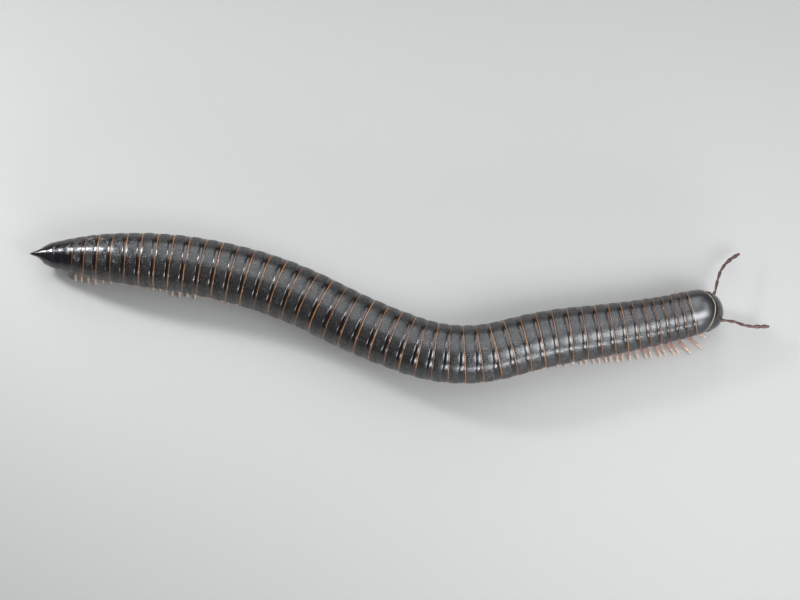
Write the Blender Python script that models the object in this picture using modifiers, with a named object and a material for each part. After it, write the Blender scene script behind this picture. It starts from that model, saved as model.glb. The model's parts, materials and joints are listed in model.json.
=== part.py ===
"""Portuguese millipede, a still life-size model standing on its feet.

Metres, +Z up. The floor is z = 0, the origin is the middle of the footprint, and the animal looks
along +X with its body in one long S bend. Pieces of the trunk and the tail are first made straight,
with X as the distance along the body from the tip of the tail, and then follow the bent body line.
Pieces of the head are made in a frame at the neck: X forward, Y to the left, Z up from the body axis.
"""

import math

import bmesh
import bpy
from mathutils import Matrix, Vector

# Body line, seen from above: where the tail tip lies, and which way the body sets out from it
LINE_START = Vector((-0.021843, 0.003299))
LINE_HEADING = math.radians(1.0)
# Each bend is an arc: its length, and how far it turns to the left in degrees
LINE_BENDS = (
    (0.00240, -6.6),
    (0.00510, -0.2),
    (0.00570, -10.6),
    (0.00485, -11.9),
    (0.00565, 8.8),
    (0.00565, 36.6),
    (0.00405, -9.3),
    (0.00692, 6.6),
)
LINE_STEP = 0.00025

# Trunk: full radius, and how it slims toward the tail and the neck
BODY_RADIUS = 0.00172
BELLY_HEIGHT = 0.00050
TAIL_SLIMMING = 0.54
TAIL_REACH = 0.0030
TAIL_POWER = 1.15
NECK_SLIMMING = 0.22
NECK_REACH = 0.0062
NECK_POWER = 1.6
TRUNK_SIDES = 16

# The thin cut between neighbouring pieces
CUT = 0.0001

# Rings are counted from the collum, which is ring 1, to the last one before the tail
FIRST_RING = 2
LAST_RING = 48
TAIL_LENGTH = 0.00150
RING_PITCH = 0.000936
NECK_CROWDING = 0.46
NECK_RINGS = 7.7
END_CROWDING = 0.48
END_RINGS = 2.9
BEND_CROWDING = 0.117
BEND_RING = 21.6
BEND_RINGS = 2.5
RINGS_IN_A_LENGTH = 6
STEP_DOWN = 0.955

# Legs: one stout pair stands for the two fine pairs of a ring
LEG_RADIUS = 0.00025
LEG_ROUNDING = 1
LAST_LEGGED_RING = 46
LEG_SPACING = 0.00070
HIP_OUT = 0.00042
HIP_UP_SHARE = 0.25
KNEE_HEIGHT = 0.00058
KNEE_SHARE = 0.86
FOOT_SHARE = 0.80
NECK_STRIDE = 0.00070
NECK_STRIDE_RINGS = 9.0
TAIL_STRIDE = 0.00045
TAIL_STRIDE_RINGS = 5.0
NECK_SWING = math.radians(30.0)
NECK_SWING_RINGS = 4.0

# Head capsule, cut level at the mouth
HEAD_CENTRE = Vector((0.00100, 0.0, -0.00035))
HEAD_RADII = Vector((0.00096, 0.00113, 0.00130))
HEAD_MESH = (16, 10)
MOUTH_HEIGHT = -0.00157

# Collum, the dome over the neck: its front edge sweeps back down the sides
COLLUM_RADIUS = 0.00131
COLLUM_REACH = 0.00180
COLLUM_POWER = 2.5
COLLUM_FRONT = 0.00148
COLLUM_SWEEP = 0.72
COLLUM_SWEEP_POWER = 1.2
COLLUM_LEAST = 0.00004
COLLUM_LOW = -0.00066
COLLUM_SIDES = 24
COLLUM_STEPS = 7

# Small rounded pieces set in the head: centre, radii and look. A pair lies at both sides.
HEAD_PAIRS = {
    "eye": (Vector((0.00122, 0.00094, 0.00018)), Vector((0.00025, 0.00012, 0.00022)), "eye"),
    "jaw": (Vector((0.00086, 0.00078, -0.00096)), Vector((0.00044, 0.00029, 0.00048)), "mouth"),
}
CHIN_CENTRE = Vector((0.00052, 0.0, -0.00148))
CHIN_RADII = Vector((0.00042, 0.00055, 0.00021))
SMALL_MESH = (10, 6)

# Antennae: seven joints each, club-shaped, from sockets at the sides of the face
ANTENNA_ROOT = Vector((0.00148, 0.00070, -0.00036))
ANTENNA_LENGTHS = (0.00042, 0.00060, 0.00055, 0.00048, 0.00050, 0.00038, 0.00018)
ANTENNA_RADII = (0.00025, 0.00025, 0.00025, 0.00025, 0.00026, 0.00029, 0.00029, 0.00022)
ANTENNA_DROPS = (0.0, 2.0, 6.0, 11.0, 14.0, 16.0, 18.0)
ANTENNA_ROUNDING = 2
SOCKET_ENDS = 3
# How far each joint points outward from straight ahead, in degrees
ANTENNA_SPREADS = {
    "left": (48.0, 66.0, 61.0, 46.5, 33.5, 23.5, 18.5),
    "right": (16.0, 23.0, 34.0, 22.0, 11.0, 9.0, 10.0),
}

# Tail: the last ring as (distance from the tip, radius), closed behind by two valves
TAIL_RING_PROFILE = (
    (TAIL_LENGTH - CUT, 0.000755),
    (0.00125, 0.000705),
    (0.00105, 0.000600),
    (0.00085, 0.000465),
    (0.00068, 0.000320),
)
VALVE_CENTRE = Vector((0.00120, 0.0, -0.00010))
VALVE_RADII = Vector((0.00057, 0.00062, 0.00066))
VALVE_MESH = (14, 8)
# The slanted seam between the last ring above and the valves below
SEAM_PLACE = Vector((0.00132, 0.0, -0.00070))
SEAM_NORMAL = Vector((-0.77, 0.0, -0.64)).normalized()
# The point over the valves: distance from the tip, height over the body axis, radius
TAIL_POINT = (
    (0.00125, 0.00020, 0.00038),
    (0.00090, 0.00024, 0.00031),
    (0.00060, 0.00025, 0.00023),
    (0.00030, 0.00021, 0.00013),
    (0.00002, 0.00018, 0.00003),
)
POINT_ROUNDING = 2

# Meshes are welded under a micrometre, far below the smallest detail
WELD = 0.000001
SHARP_ANGLE = math.radians(35.0)
DOWN = Vector((0.0, 0.0, -1.0))

# Base colour and roughness of each kind of piece
LOOKS = {
    "trunk": ((0.045, 0.038, 0.038), 0.38),
    "collum": ((0.018, 0.018, 0.022), 0.28),
    "head": ((0.014, 0.012, 0.013), 0.30),
    "eye": ((0.006, 0.006, 0.007), 0.18),
    "mouth": ((0.070, 0.040, 0.030), 0.40),
    "antenna": ((0.110, 0.045, 0.032), 0.42),
    "tail": ((0.012, 0.010, 0.010), 0.25),
}


def clear_scene():
    """Remove every object and collection that the file opened with."""
    for obj in list(bpy.data.objects):
        bpy.data.objects.remove(obj, do_unlink=True)
    for collection in list(bpy.data.collections):
        bpy.data.collections.remove(collection)


def new_collection(name):
    """Add a collection to the scene."""
    collection = bpy.data.collections.new(name)
    bpy.context.scene.collection.children.link(collection)
    return collection


clear_scene()
PARTS = new_collection("portuguese_millipede")
GUIDES = new_collection("guides")


def line_point(distance):
    """Return the place and the heading of the body line at a distance from the tail tip."""
    place = LINE_START.copy()
    heading = LINE_HEADING
    left = distance
    for index, (length, turn) in enumerate(LINE_BENDS):
        is_last = index == len(LINE_BENDS) - 1
        run = left if is_last else min(left, length)
        bend = math.radians(turn) / length
        end_heading = heading + bend * run
        place.x += (math.sin(end_heading) - math.sin(heading)) / bend
        place.y -= (math.cos(end_heading) - math.cos(heading)) / bend
        heading = end_heading
        left -= run
        if left <= 0.0:
            break
    return place, heading


def ring_pitch(ring):
    """Return the length of one ring, shorter at the neck, at the tail and inside the sharp bend."""
    neck = 1.0 - NECK_CROWDING * math.exp(-(((ring - FIRST_RING) / NECK_RINGS) ** 2))
    end = 1.0 - END_CROWDING * math.exp(-(LAST_RING - ring) / END_RINGS)
    bend = 1.0 - BEND_CROWDING * math.exp(-(((ring - BEND_RING) / BEND_RINGS) ** 2))
    return RING_PITCH * neck * end * bend


def rear_edges():
    """Return the distance of each ring's rear edge from the tail tip, by ring number."""
    edges = {LAST_RING: TAIL_LENGTH}
    for ring in range(LAST_RING, FIRST_RING - 1, -1):
        edges[ring - 1] = edges[ring] + ring_pitch(ring)
    return edges


REAR_EDGE = rear_edges()
NECK = REAR_EDGE[FIRST_RING - 1]


def body_radius(distance):
    """Return the radius of the trunk at a distance from the tail tip."""
    from_tail = max(distance - TAIL_LENGTH, 0.0)
    from_neck = max(NECK - distance, 0.0)
    rear = 1.0 - TAIL_SLIMMING * math.exp(-((from_tail / TAIL_REACH) ** TAIL_POWER))
    front = 1.0 - NECK_SLIMMING * math.exp(-((from_neck / NECK_REACH) ** NECK_POWER))
    return BODY_RADIUS * rear * front


def axis_height(distance):
    """Return the height of the body axis, which keeps the belly level over the floor."""
    return BELLY_HEIGHT + body_radius(distance)


def neck_frame():
    """Return the frame at the rear edge of the collum."""
    place, heading = line_point(NECK)
    at = Matrix.Translation((place.x, place.y, axis_height(NECK)))
    return at @ Matrix.Rotation(heading, 4, "Z")


def tidied(mesh):
    """Weld a mesh's seams and turn its faces outward."""
    bm = bmesh.new()
    bm.from_mesh(mesh)
    bmesh.ops.remove_doubles(bm, verts=bm.verts, dist=WELD)
    bmesh.ops.recalc_face_normals(bm, faces=bm.faces)
    bm.to_mesh(mesh)
    bm.free()
    return mesh


def baked(obj):
    """Return an object's evaluated mesh with welded seams, and remove the object."""
    bpy.context.view_layer.update()
    evaluated = obj.evaluated_get(bpy.context.evaluated_depsgraph_get())
    mesh = bpy.data.meshes.new_from_object(evaluated)
    bpy.data.objects.remove(obj, do_unlink=True)
    return tidied(mesh)


def turned(profile, sides):
    """Turn (along, radius) points about the X axis into a closed mesh with flat ends."""
    rear, front = profile[0][0], profile[-1][0]
    outline = [(rear, 0.0), *profile, (front, 0.0)]
    mesh = bpy.data.meshes.new("outline")
    points = [(along, 0.0, radius) for along, radius in outline]
    mesh.from_pydata(points, [(index, index + 1) for index in range(len(points) - 1)], [])
    obj = bpy.data.objects.new("turning", mesh)
    GUIDES.objects.link(obj)
    screw = obj.modifiers.new("turn", "SCREW")
    screw.axis = "X"
    screw.steps = sides
    screw.render_steps = sides
    screw.use_merge_vertices = True
    screw.merge_threshold = WELD
    return baked(obj)


def tubes(runs, bevel_resolution):
    """Sweep round tubes along runs of (point, radius) pairs into one mesh with closed ends."""
    curve = bpy.data.curves.new("runs", "CURVE")
    curve.dimensions = "3D"
    curve.bevel_depth = 1.0
    curve.bevel_resolution = bevel_resolution
    curve.use_fill_caps = True
    for run in runs:
        spline = curve.splines.new("POLY")
        spline.points.add(len(run) - 1)
        for node, (point, radius) in zip(spline.points, run):
            node.co = (*point, 1.0)
            node.radius = radius
    obj = bpy.data.objects.new("sweeping", curve)
    GUIDES.objects.link(obj)
    return baked(obj)


def ellipsoid(centre, radii, mesh_size):
    """Return the mesh of an ellipsoid about a centre, with its segments and rings."""
    mesh = bpy.data.meshes.new("ellipsoid")
    bm = bmesh.new()
    segments, rings = mesh_size
    placed = Matrix.Translation(centre) @ Matrix.Diagonal((*radii, 1.0))
    bmesh.ops.create_uvsphere(bm, u_segments=segments, v_segments=rings, radius=1.0, matrix=placed)
    bm.to_mesh(mesh)
    bm.free()
    return mesh


def trimmed(mesh, place, normal):
    """Cut away what lies beyond a plane, on the side its normal points to, and close the cuts."""
    bm = bmesh.new()
    bm.from_mesh(mesh)
    cut = bmesh.ops.bisect_plane(
        bm,
        geom=bm.verts[:] + bm.edges[:] + bm.faces[:],
        dist=WELD,
        plane_co=place,
        plane_no=normal,
        clear_outer=True,
    )
    rim = [item for item in cut["geom_cut"] if isinstance(item, bmesh.types.BMEdge)]
    bmesh.ops.holes_fill(bm, edges=rim)
    bm.to_mesh(mesh)
    bm.free()
    return tidied(mesh)


def grown(radii, room):
    """Return radii with some room added all round."""
    return radii + Vector((room, room, room))


def add_part(name, mesh, look, frame=None):
    """Add one named piece with its own material."""
    colour, roughness = LOOKS[look]
    material = bpy.data.materials.new(name)
    material.use_nodes = True
    shader = material.node_tree.nodes["Principled BSDF"]
    shader.inputs["Base Color"].default_value = (*colour, 1.0)
    shader.inputs["Roughness"].default_value = roughness
    mesh.name = name
    mesh.materials.clear()
    mesh.materials.append(material)
    mesh.shade_smooth()
    mesh.set_sharp_from_angle(angle=SHARP_ANGLE)
    obj = bpy.data.objects.new(name, mesh)
    PARTS.objects.link(obj)
    if frame is not None:
        obj.matrix_world = frame
    return obj


def combine(target, name, mesh, operation, frame=None):
    """Join a hidden shape to a piece, or cut it out of the piece."""
    tool = bpy.data.objects.new(name, mesh)
    tool.hide_render = True
    tool.display_type = "WIRE"
    GUIDES.objects.link(tool)
    if frame is not None:
        tool.matrix_world = frame
    modifier = target.modifiers.new(name, "BOOLEAN")
    modifier.operation = operation
    modifier.solver = "EXACT"
    modifier.object = tool


def follow_line(obj, line):
    """Bend a straight piece along the body line."""
    obj.modifiers.new("triangles", "TRIANGULATE")
    bend = obj.modifiers.new("body_line", "CURVE")
    bend.object = line
    bend.deform_axis = "POS_X"


def body_line():
    """Draw the body line on the floor as the guide that bends the straight pieces."""
    curve = bpy.data.curves.new("body_line", "CURVE")
    curve.dimensions = "3D"
    curve.twist_mode = "Z_UP"
    steps = math.ceil(NECK / LINE_STEP)
    spline = curve.splines.new("POLY")
    spline.points.add(steps)
    for index, node in enumerate(spline.points):
        place, _ = line_point(NECK * index / steps)
        node.co = (place.x, place.y, 0.0, 1.0)
    line = bpy.data.objects.new("body_line", curve)
    line.hide_render = True
    line.display_type = "WIRE"
    GUIDES.objects.link(line)
    return line


def length_profile(first, last):
    """Return the outline of one trunk length, from its rear face to its front face.

    Each ring widens toward its rear edge and ends in a step down to the front of the next one.
    """
    profile = []
    for ring in range(last, first - 1, -1):
        edge = REAR_EDGE[ring]
        if ring != last:
            profile.append((edge, STEP_DOWN * body_radius(edge)))
        profile.append((edge, body_radius(edge)))
    front = REAR_EDGE[first - 1] - CUT
    profile.append((front, STEP_DOWN * body_radius(front)))
    return profile


def level_belly(mesh):
    """Raise a straight turned mesh so that its underside is level over the floor."""
    for vertex in mesh.vertices:
        vertex.co.z += axis_height(vertex.co.x)
    mesh.update()
    return mesh


def ring_middle(ring):
    """Return the distance of a ring's middle from the tail tip."""
    return 0.5 * (REAR_EDGE[ring] + REAR_EDGE[ring - 1])


def legged_rings():
    """Return the rings that carry a leg pair in the solids, no closer than the leg spacing."""
    rings = [FIRST_RING]
    for ring in range(FIRST_RING + 1, LAST_LEGGED_RING + 1):
        if ring_middle(rings[-1]) - ring_middle(ring) >= LEG_SPACING:
            rings.append(ring)
    return rings


def foot_reach(ring, radius):
    """Return how far a foot stands from the middle, widest at the neck and near the tail."""
    neck = NECK_STRIDE * math.exp(-((ring / NECK_STRIDE_RINGS) ** 2))
    tail = TAIL_STRIDE * math.exp(-(((LAST_LEGGED_RING - ring) / TAIL_STRIDE_RINGS) ** 2))
    return FOOT_SHARE * radius + neck + tail


def leg_run(ring, side):
    """Return the joints of one leg, from inside the belly to just past the floor."""
    place = ring_middle(ring)
    radius = body_radius(place)
    foot = foot_reach(ring, radius)
    knee = max(KNEE_SHARE * foot, HIP_OUT + 2.0 * LEG_RADIUS)
    past_foot = foot + (foot - knee) * LEG_RADIUS / KNEE_HEIGHT
    swing = NECK_SWING * math.exp(-(((ring - FIRST_RING) / NECK_SWING_RINGS) ** 2))
    joints = (
        (HIP_OUT, BELLY_HEIGHT + HIP_UP_SHARE * radius),
        (knee, KNEE_HEIGHT),
        (past_foot, -LEG_RADIUS),
    )
    run = []
    for out, up in joints:
        length = out - HIP_OUT
        forward = place + length * math.sin(swing)
        sideways = side * (HIP_OUT + length * math.cos(swing))
        run.append(((forward, sideways, up), LEG_RADIUS))
    return run


def legs(first, last):
    """Return the leg pairs of one trunk length, with flat soles cut level at the floor."""
    rings = [ring for ring in legged_rings() if first <= ring <= last]
    runs = [leg_run(ring, side) for ring in rings for side in (-1.0, 1.0)]
    return trimmed(tubes(runs, LEG_ROUNDING), Vector(), DOWN)


def build_trunk(line):
    """Build the trunk in lengths of a few rings, each with its own legs."""
    firsts = range(FIRST_RING, LAST_RING + 1, RINGS_IN_A_LENGTH)
    for number, first in enumerate(firsts, start=1):
        last = min(first + RINGS_IN_A_LENGTH - 1, LAST_RING)
        mesh = level_belly(turned(length_profile(first, last), TRUNK_SIDES))
        trunk = add_part(f"trunk_{number}", mesh, "trunk")
        combine(trunk, f"legs_{number}", legs(first, last), "UNION")
        follow_line(trunk, line)


def lifted(mesh):
    """Raise a straight tail piece made about the body axis to that axis's height."""
    mesh.transform(Matrix.Translation((0.0, 0.0, axis_height(TAIL_LENGTH))))
    return mesh


def build_tail(line):
    """Build the last ring with its point, and the two valves below the point."""
    hood = trimmed(turned(TAIL_RING_PROFILE, TRUNK_SIDES), SEAM_PLACE, SEAM_NORMAL)
    tail = add_part("tail_ring", lifted(hood), "tail")
    run = [((along, 0.0, up), radius) for along, up, radius in TAIL_POINT]
    combine(tail, "tail_point", lifted(tubes([run], POINT_ROUNDING)), "UNION")
    follow_line(tail, line)
    valve_seam = SEAM_PLACE + SEAM_NORMAL * CUT
    for side, sign in (("left", 1.0), ("right", -1.0)):
        both = trimmed(ellipsoid(VALVE_CENTRE, VALVE_RADII, VALVE_MESH), valve_seam, -SEAM_NORMAL)
        middle = Vector((0.0, 0.5 * sign * CUT, 0.0))
        half = trimmed(both, middle, Vector((0.0, -sign, 0.0)))
        valve = add_part(f"anal_valve_{side}", lifted(half), "tail")
        follow_line(valve, line)


def head_shape(room):
    """Return the head capsule grown by some room all round, level at the mouth."""
    capsule = ellipsoid(HEAD_CENTRE, grown(HEAD_RADII, room), HEAD_MESH)
    return trimmed(capsule, Vector((0.0, 0.0, MOUTH_HEIGHT - room)), DOWN)


def collum_radius(along):
    """Return the radius of the collum's dome at a distance forward of its rear edge."""
    share = 1.0 - (along / COLLUM_REACH) ** COLLUM_POWER
    return COLLUM_RADIUS * share ** (1.0 / COLLUM_POWER)


def collum_front(around):
    """Return how far forward the collum reaches at an angle from the top."""
    level = max(math.cos(COLLUM_SWEEP * around), 0.0)
    return max(COLLUM_FRONT * level**COLLUM_SWEEP_POWER, COLLUM_LEAST)


def swept(mesh):
    """Sweep the front edge of a turned collum back down its sides."""
    for vertex in mesh.vertices:
        point = vertex.co
        if math.hypot(point.y, point.z) > WELD:
            around = math.atan2(point.y, point.z)
            point.x *= collum_front(abs(around)) / COLLUM_FRONT
            radius = collum_radius(point.x)
            point.y = radius * math.sin(around)
            point.z = radius * math.cos(around)
    mesh.update()
    return mesh


def build_collum(neck):
    """Build the large first plate, hollowed where the head sits."""
    stations = [COLLUM_FRONT * index / COLLUM_STEPS for index in range(COLLUM_STEPS + 1)]
    dome = swept(turned([(along, collum_radius(along)) for along in stations], COLLUM_SIDES))
    dome = trimmed(dome, Vector((0.0, 0.0, COLLUM_LOW)), DOWN)
    collum = add_part("collum", dome, "collum", neck)
    combine(collum, "head_room", head_shape(CUT), "DIFFERENCE", neck)


def set_in_head(head, name, centre, radii, look, neck):
    """Add a small rounded piece in a socket of the head."""
    add_part(name, ellipsoid(centre, radii, SMALL_MESH), look, neck)
    socket = ellipsoid(centre, grown(radii, CUT), SMALL_MESH)
    combine(head, f"{name}_socket", socket, "DIFFERENCE", neck)


def antenna_run(side, sign, room):
    """Return the joints of one antenna, with some room added all round."""
    place = Vector((ANTENNA_ROOT.x, sign * ANTENNA_ROOT.y, ANTENNA_ROOT.z))
    run = [(place.copy(), ANTENNA_RADII[0] + room)]
    steps = zip(ANTENNA_LENGTHS, ANTENNA_SPREADS[side], ANTENNA_DROPS, ANTENNA_RADII[1:])
    for length, spread, drop, radius in steps:
        outward = math.radians(spread)
        down = math.radians(drop)
        level = length * math.cos(down)
        place.x += level * math.cos(outward)
        place.y += sign * level * math.sin(outward)
        place.z -= length * math.sin(down)
        run.append((place.copy(), radius + room))
    return run


def build_head(neck):
    """Build the head capsule with its eyes, jaws, chin and antennae."""
    head = add_part("head", head_shape(0.0), "head", neck)
    for side, sign in (("left", 1.0), ("right", -1.0)):
        for kind, (centre, radii, look) in HEAD_PAIRS.items():
            place = Vector((centre.x, sign * centre.y, centre.z))
            set_in_head(head, f"{kind}_{side}", place, radii, look, neck)
        add_part(f"antenna_{side}", tubes([antenna_run(side, sign, 0.0)], ANTENNA_ROUNDING), "antenna", neck)
        root = antenna_run(side, sign, CUT)[:SOCKET_ENDS]
        back = root[0][0] - (root[1][0] - root[0][0]).normalized() * CUT
        socket = tubes([[(back, root[0][1]), *root[1:]]], ANTENNA_ROUNDING)
        combine(head, f"antenna_{side}_socket", socket, "DIFFERENCE", neck)
    set_in_head(head, "chin", CHIN_CENTRE, CHIN_RADII, "mouth", neck)


LINE = body_line()
NECK_FRAME = neck_frame()
build_trunk(LINE)
build_tail(LINE)
build_collum(NECK_FRAME)
build_head(NECK_FRAME)
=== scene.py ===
"""Portuguese millipede, a still life-size model: its looks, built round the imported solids.

Metres, +Z up, the floor at z = 0. The body line, the ring lengths and the places on the head are those of
the solids. Plates, legs and feelers are each modelled once, straight, and laid along their own line.
"""

import json
import logging
import math
import random
from collections.abc import Callable, Iterator, Sequence
from contextlib import contextmanager
from dataclasses import dataclass
from enum import Enum
from functools import cached_property

import bmesh
import bpy
import numpy as np
from mathutils import Matrix, Vector

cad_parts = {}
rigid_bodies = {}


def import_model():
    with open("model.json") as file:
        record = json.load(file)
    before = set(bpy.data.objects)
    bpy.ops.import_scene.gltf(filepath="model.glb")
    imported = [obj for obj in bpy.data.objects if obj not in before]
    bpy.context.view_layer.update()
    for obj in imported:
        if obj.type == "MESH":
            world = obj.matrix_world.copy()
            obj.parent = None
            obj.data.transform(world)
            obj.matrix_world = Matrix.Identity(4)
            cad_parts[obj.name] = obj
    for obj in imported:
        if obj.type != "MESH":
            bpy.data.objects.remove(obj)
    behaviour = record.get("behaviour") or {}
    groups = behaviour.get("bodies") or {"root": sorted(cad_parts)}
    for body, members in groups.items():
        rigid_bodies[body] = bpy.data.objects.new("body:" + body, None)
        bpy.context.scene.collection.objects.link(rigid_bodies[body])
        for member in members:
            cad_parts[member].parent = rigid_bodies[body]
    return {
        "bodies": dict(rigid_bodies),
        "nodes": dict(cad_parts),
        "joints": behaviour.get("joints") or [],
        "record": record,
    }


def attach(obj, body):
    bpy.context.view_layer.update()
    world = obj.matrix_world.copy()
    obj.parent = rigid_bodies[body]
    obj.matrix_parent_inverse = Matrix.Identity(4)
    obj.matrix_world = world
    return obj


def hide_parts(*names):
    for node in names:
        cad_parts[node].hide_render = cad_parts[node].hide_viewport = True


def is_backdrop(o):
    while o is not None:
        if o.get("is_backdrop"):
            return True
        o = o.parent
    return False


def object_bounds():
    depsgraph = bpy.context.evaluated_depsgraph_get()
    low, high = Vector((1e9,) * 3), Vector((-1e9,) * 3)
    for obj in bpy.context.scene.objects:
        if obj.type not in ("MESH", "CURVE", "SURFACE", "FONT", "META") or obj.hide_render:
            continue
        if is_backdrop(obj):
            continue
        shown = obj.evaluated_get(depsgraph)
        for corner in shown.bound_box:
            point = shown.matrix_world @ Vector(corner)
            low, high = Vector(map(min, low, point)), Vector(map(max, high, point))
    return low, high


LOG = logging.getLogger("millipede")
MM = 0.001
TURN = 2.0 * math.pi
UP = Vector((0.0, 0.0, 1.0))
SMOOTH_BELOW = 40.0
RIMMED_BELOW = 50.0

Piece = bpy.types.Object
Socket = bpy.types.NodeSocket
Look = tuple[Socket, Socket, Socket]
Hair = tuple[Vector, Vector]
Span = tuple[float, float]
Triple = tuple[float, float, float]
Colour = Triple
Rows = tuple[tuple[float, ...], ...]


class Side(Enum):
    """A side of the animal, with its sign along Y where the animal looks along X."""

    LEFT = 1.0
    RIGHT = -1.0

    @property
    def word(self) -> str:
        """The side's name in piece names."""
        return self.name.lower()


class Slot(Enum):
    """The record's material slots."""

    RING = "ring_cuticle"
    COLLUM = "collum_cuticle"
    HEAD = "head_cuticle"
    EYE = "eye_cluster"
    MOUTH = "mouth_cuticle"
    ANTENNA = "antenna_cuticle"
    LEG = "leg_cuticle"
    TAIL = "tail_cuticle"


def mm(x: float, y: float, z: float) -> Vector:
    """Return a place or a size that is given in millimetres."""
    return Vector((x, y, z)) * MM


def bell(value: float | np.ndarray, width: float, power: float = 2.0) -> float | np.ndarray:
    """Return 1 where a value is 0, fading out over a width."""
    return np.exp(-((value / width) ** power))


def moved(points: np.ndarray, frame: Matrix) -> np.ndarray:
    """Return points moved by a frame."""
    table = np.array(frame)
    return points @ table[:3, :3].T + table[:3, 3]


def toward(way: Vector) -> Matrix:
    """Return the turn that leads Z into a direction."""
    return way.to_track_quat("Z", "Y").to_matrix().to_4x4()


def shade(value: object) -> object:
    """Return a colour of three numbers with the fourth that a socket holds, and all else unchanged."""
    return (*value, 1.0) if isinstance(value, tuple) and len(value) == 3 else value


@dataclass(frozen=True)
class BodyLine:
    """The line that the body follows over the floor, with its rings along it.

    Distances run from the tip of the tail to the neck, which is the rear edge of the first plate.
    """

    start: Span = (-0.021843, 0.003299)
    heading: float = math.radians(1.0)
    # The bends from the tail forward: length in metres, and turn to the left in degrees
    bends: Rows = (
        (0.00240, -6.6),
        (0.00510, -0.2),
        (0.00570, -10.6),
        (0.00485, -11.9),
        (0.00565, 8.8),
        (0.00565, 36.6),
        (0.00405, -9.3),
        (0.00692, 6.6),
    )
    full_radius: float = 0.00172
    belly_height: float = 0.00050
    # How the body slims toward each end: by what share, over how many metres, and how sharply
    tail_slimming: Triple = (0.54, 0.0030, 1.15)
    neck_slimming: Triple = (0.22, 0.0062, 1.6)
    first_ring: int = 2
    last_ring: int = 48
    last_legged: int = 46
    rings_in_a_length: int = 6
    tail_length: float = 0.00150
    ring_pitch: float = 0.000936
    # Where the rings are shorter: about which ring, over how many, by what share, and how sharply
    shortening: Rows = ((2.0, 7.7, 0.46, 2.0), (48.0, 2.9, 0.48, 1.0), (21.6, 2.5, 0.117, 2.0))

    def pitch(self, ring: int) -> float:
        """Return the length of one ring, shorter at the neck, at the tail and in the sharp bend.

        Args:
            ring: The ring's number, counted from the first plate.

        Returns:
            The length in metres.
        """
        pitch = self.ring_pitch
        for middle, spread, share, power in self.shortening:
            pitch *= 1.0 - share * bell(abs(ring - middle), spread, power)
        return pitch

    @cached_property
    def edges(self) -> dict[int, float]:
        """The distance of each ring's rear edge from the tail tip."""
        edges = {self.last_ring: self.tail_length}
        for ring in range(self.last_ring, self.first_ring - 1, -1):
            edges[ring - 1] = edges[ring] + self.pitch(ring)
        return edges

    @property
    def neck(self) -> float:
        """The distance of the neck from the tail tip."""
        return self.edges[self.first_ring - 1]

    @property
    def rings(self) -> range:
        """The rings behind the first plate."""
        return range(self.first_ring, self.last_ring + 1)

    def length_of(self, ring: int) -> int:
        """Return the number of the trunk length that a ring belongs to."""
        return (ring - self.first_ring) // self.rings_in_a_length + 1

    def radius(self, distance: np.ndarray) -> np.ndarray:
        """Return the body's radius.

        Args:
            distance: Distances from the tail tip.

        Returns:
            The radius at each of them.
        """
        share, reach, power = self.tail_slimming
        rear = 1.0 - share * bell(np.maximum(distance - self.tail_length, 0.0), reach, power)
        share, reach, power = self.neck_slimming
        front = 1.0 - share * bell(np.maximum(self.neck - distance, 0.0), reach, power)
        return self.full_radius * rear * front

    def axis(self, distance: np.ndarray) -> np.ndarray:
        """Return the height of the body axis over the floor at distances from the tail tip."""
        return self.belly_height + self.radius(distance)

    def point(self, distance: float) -> tuple[Vector, float]:
        """Follow the bends from the tail tip.

        Args:
            distance: How far to go.

        Returns:
            The place on the floor and the heading there.
        """
        place = Vector((*self.start, 0.0))
        heading = self.heading
        left = distance
        for index, (length, turn) in enumerate(self.bends):
            run = left if index == len(self.bends) - 1 else min(left, length)
            bend = math.radians(turn) / length
            after = heading + bend * run
            place.x += (math.sin(after) - math.sin(heading)) / bend
            place.y -= (math.cos(after) - math.cos(heading)) / bend
            heading = after
            left -= run
            if left <= 0.0:
                break
        return place, heading

    def upright(self, distance: float) -> Matrix:
        """Return the frame on the body axis, with X forward, Y left and Z up.

        Args:
            distance: The distance from the tail tip.

        Returns:
            The frame.
        """
        place, heading = self.point(distance)
        place.z = float(self.axis(np.array(distance)))
        return Matrix.Translation(place) @ Matrix.Rotation(heading, 4, "Z")


@dataclass(frozen=True)
class RingSeat:
    """Where one ring sits: a stiff hoop between two joints of the body line."""

    line: BodyLine
    ring: int

    @property
    def edge(self) -> float:
        """The distance of the ring's rear edge from the tail tip."""
        return self.line.edges[self.ring]

    @property
    def pitch(self) -> float:
        """The ring's length from joint to joint."""
        return self.line.pitch(self.ring)

    @cached_property
    def frame(self) -> Matrix:
        """The ring's frame on the floor under its rear joint: X toward the front joint."""
        rear, _ = self.line.point(self.edge)
        front, _ = self.line.point(self.edge + self.pitch)
        ahead = front - rear
        return Matrix.Translation(rear) @ Matrix.Rotation(math.atan2(ahead.y, ahead.x), 4, "Z")

    def place(self, points: np.ndarray) -> np.ndarray:
        """Move points from the ring's frame into the room."""
        return moved(points, self.frame)


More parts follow.
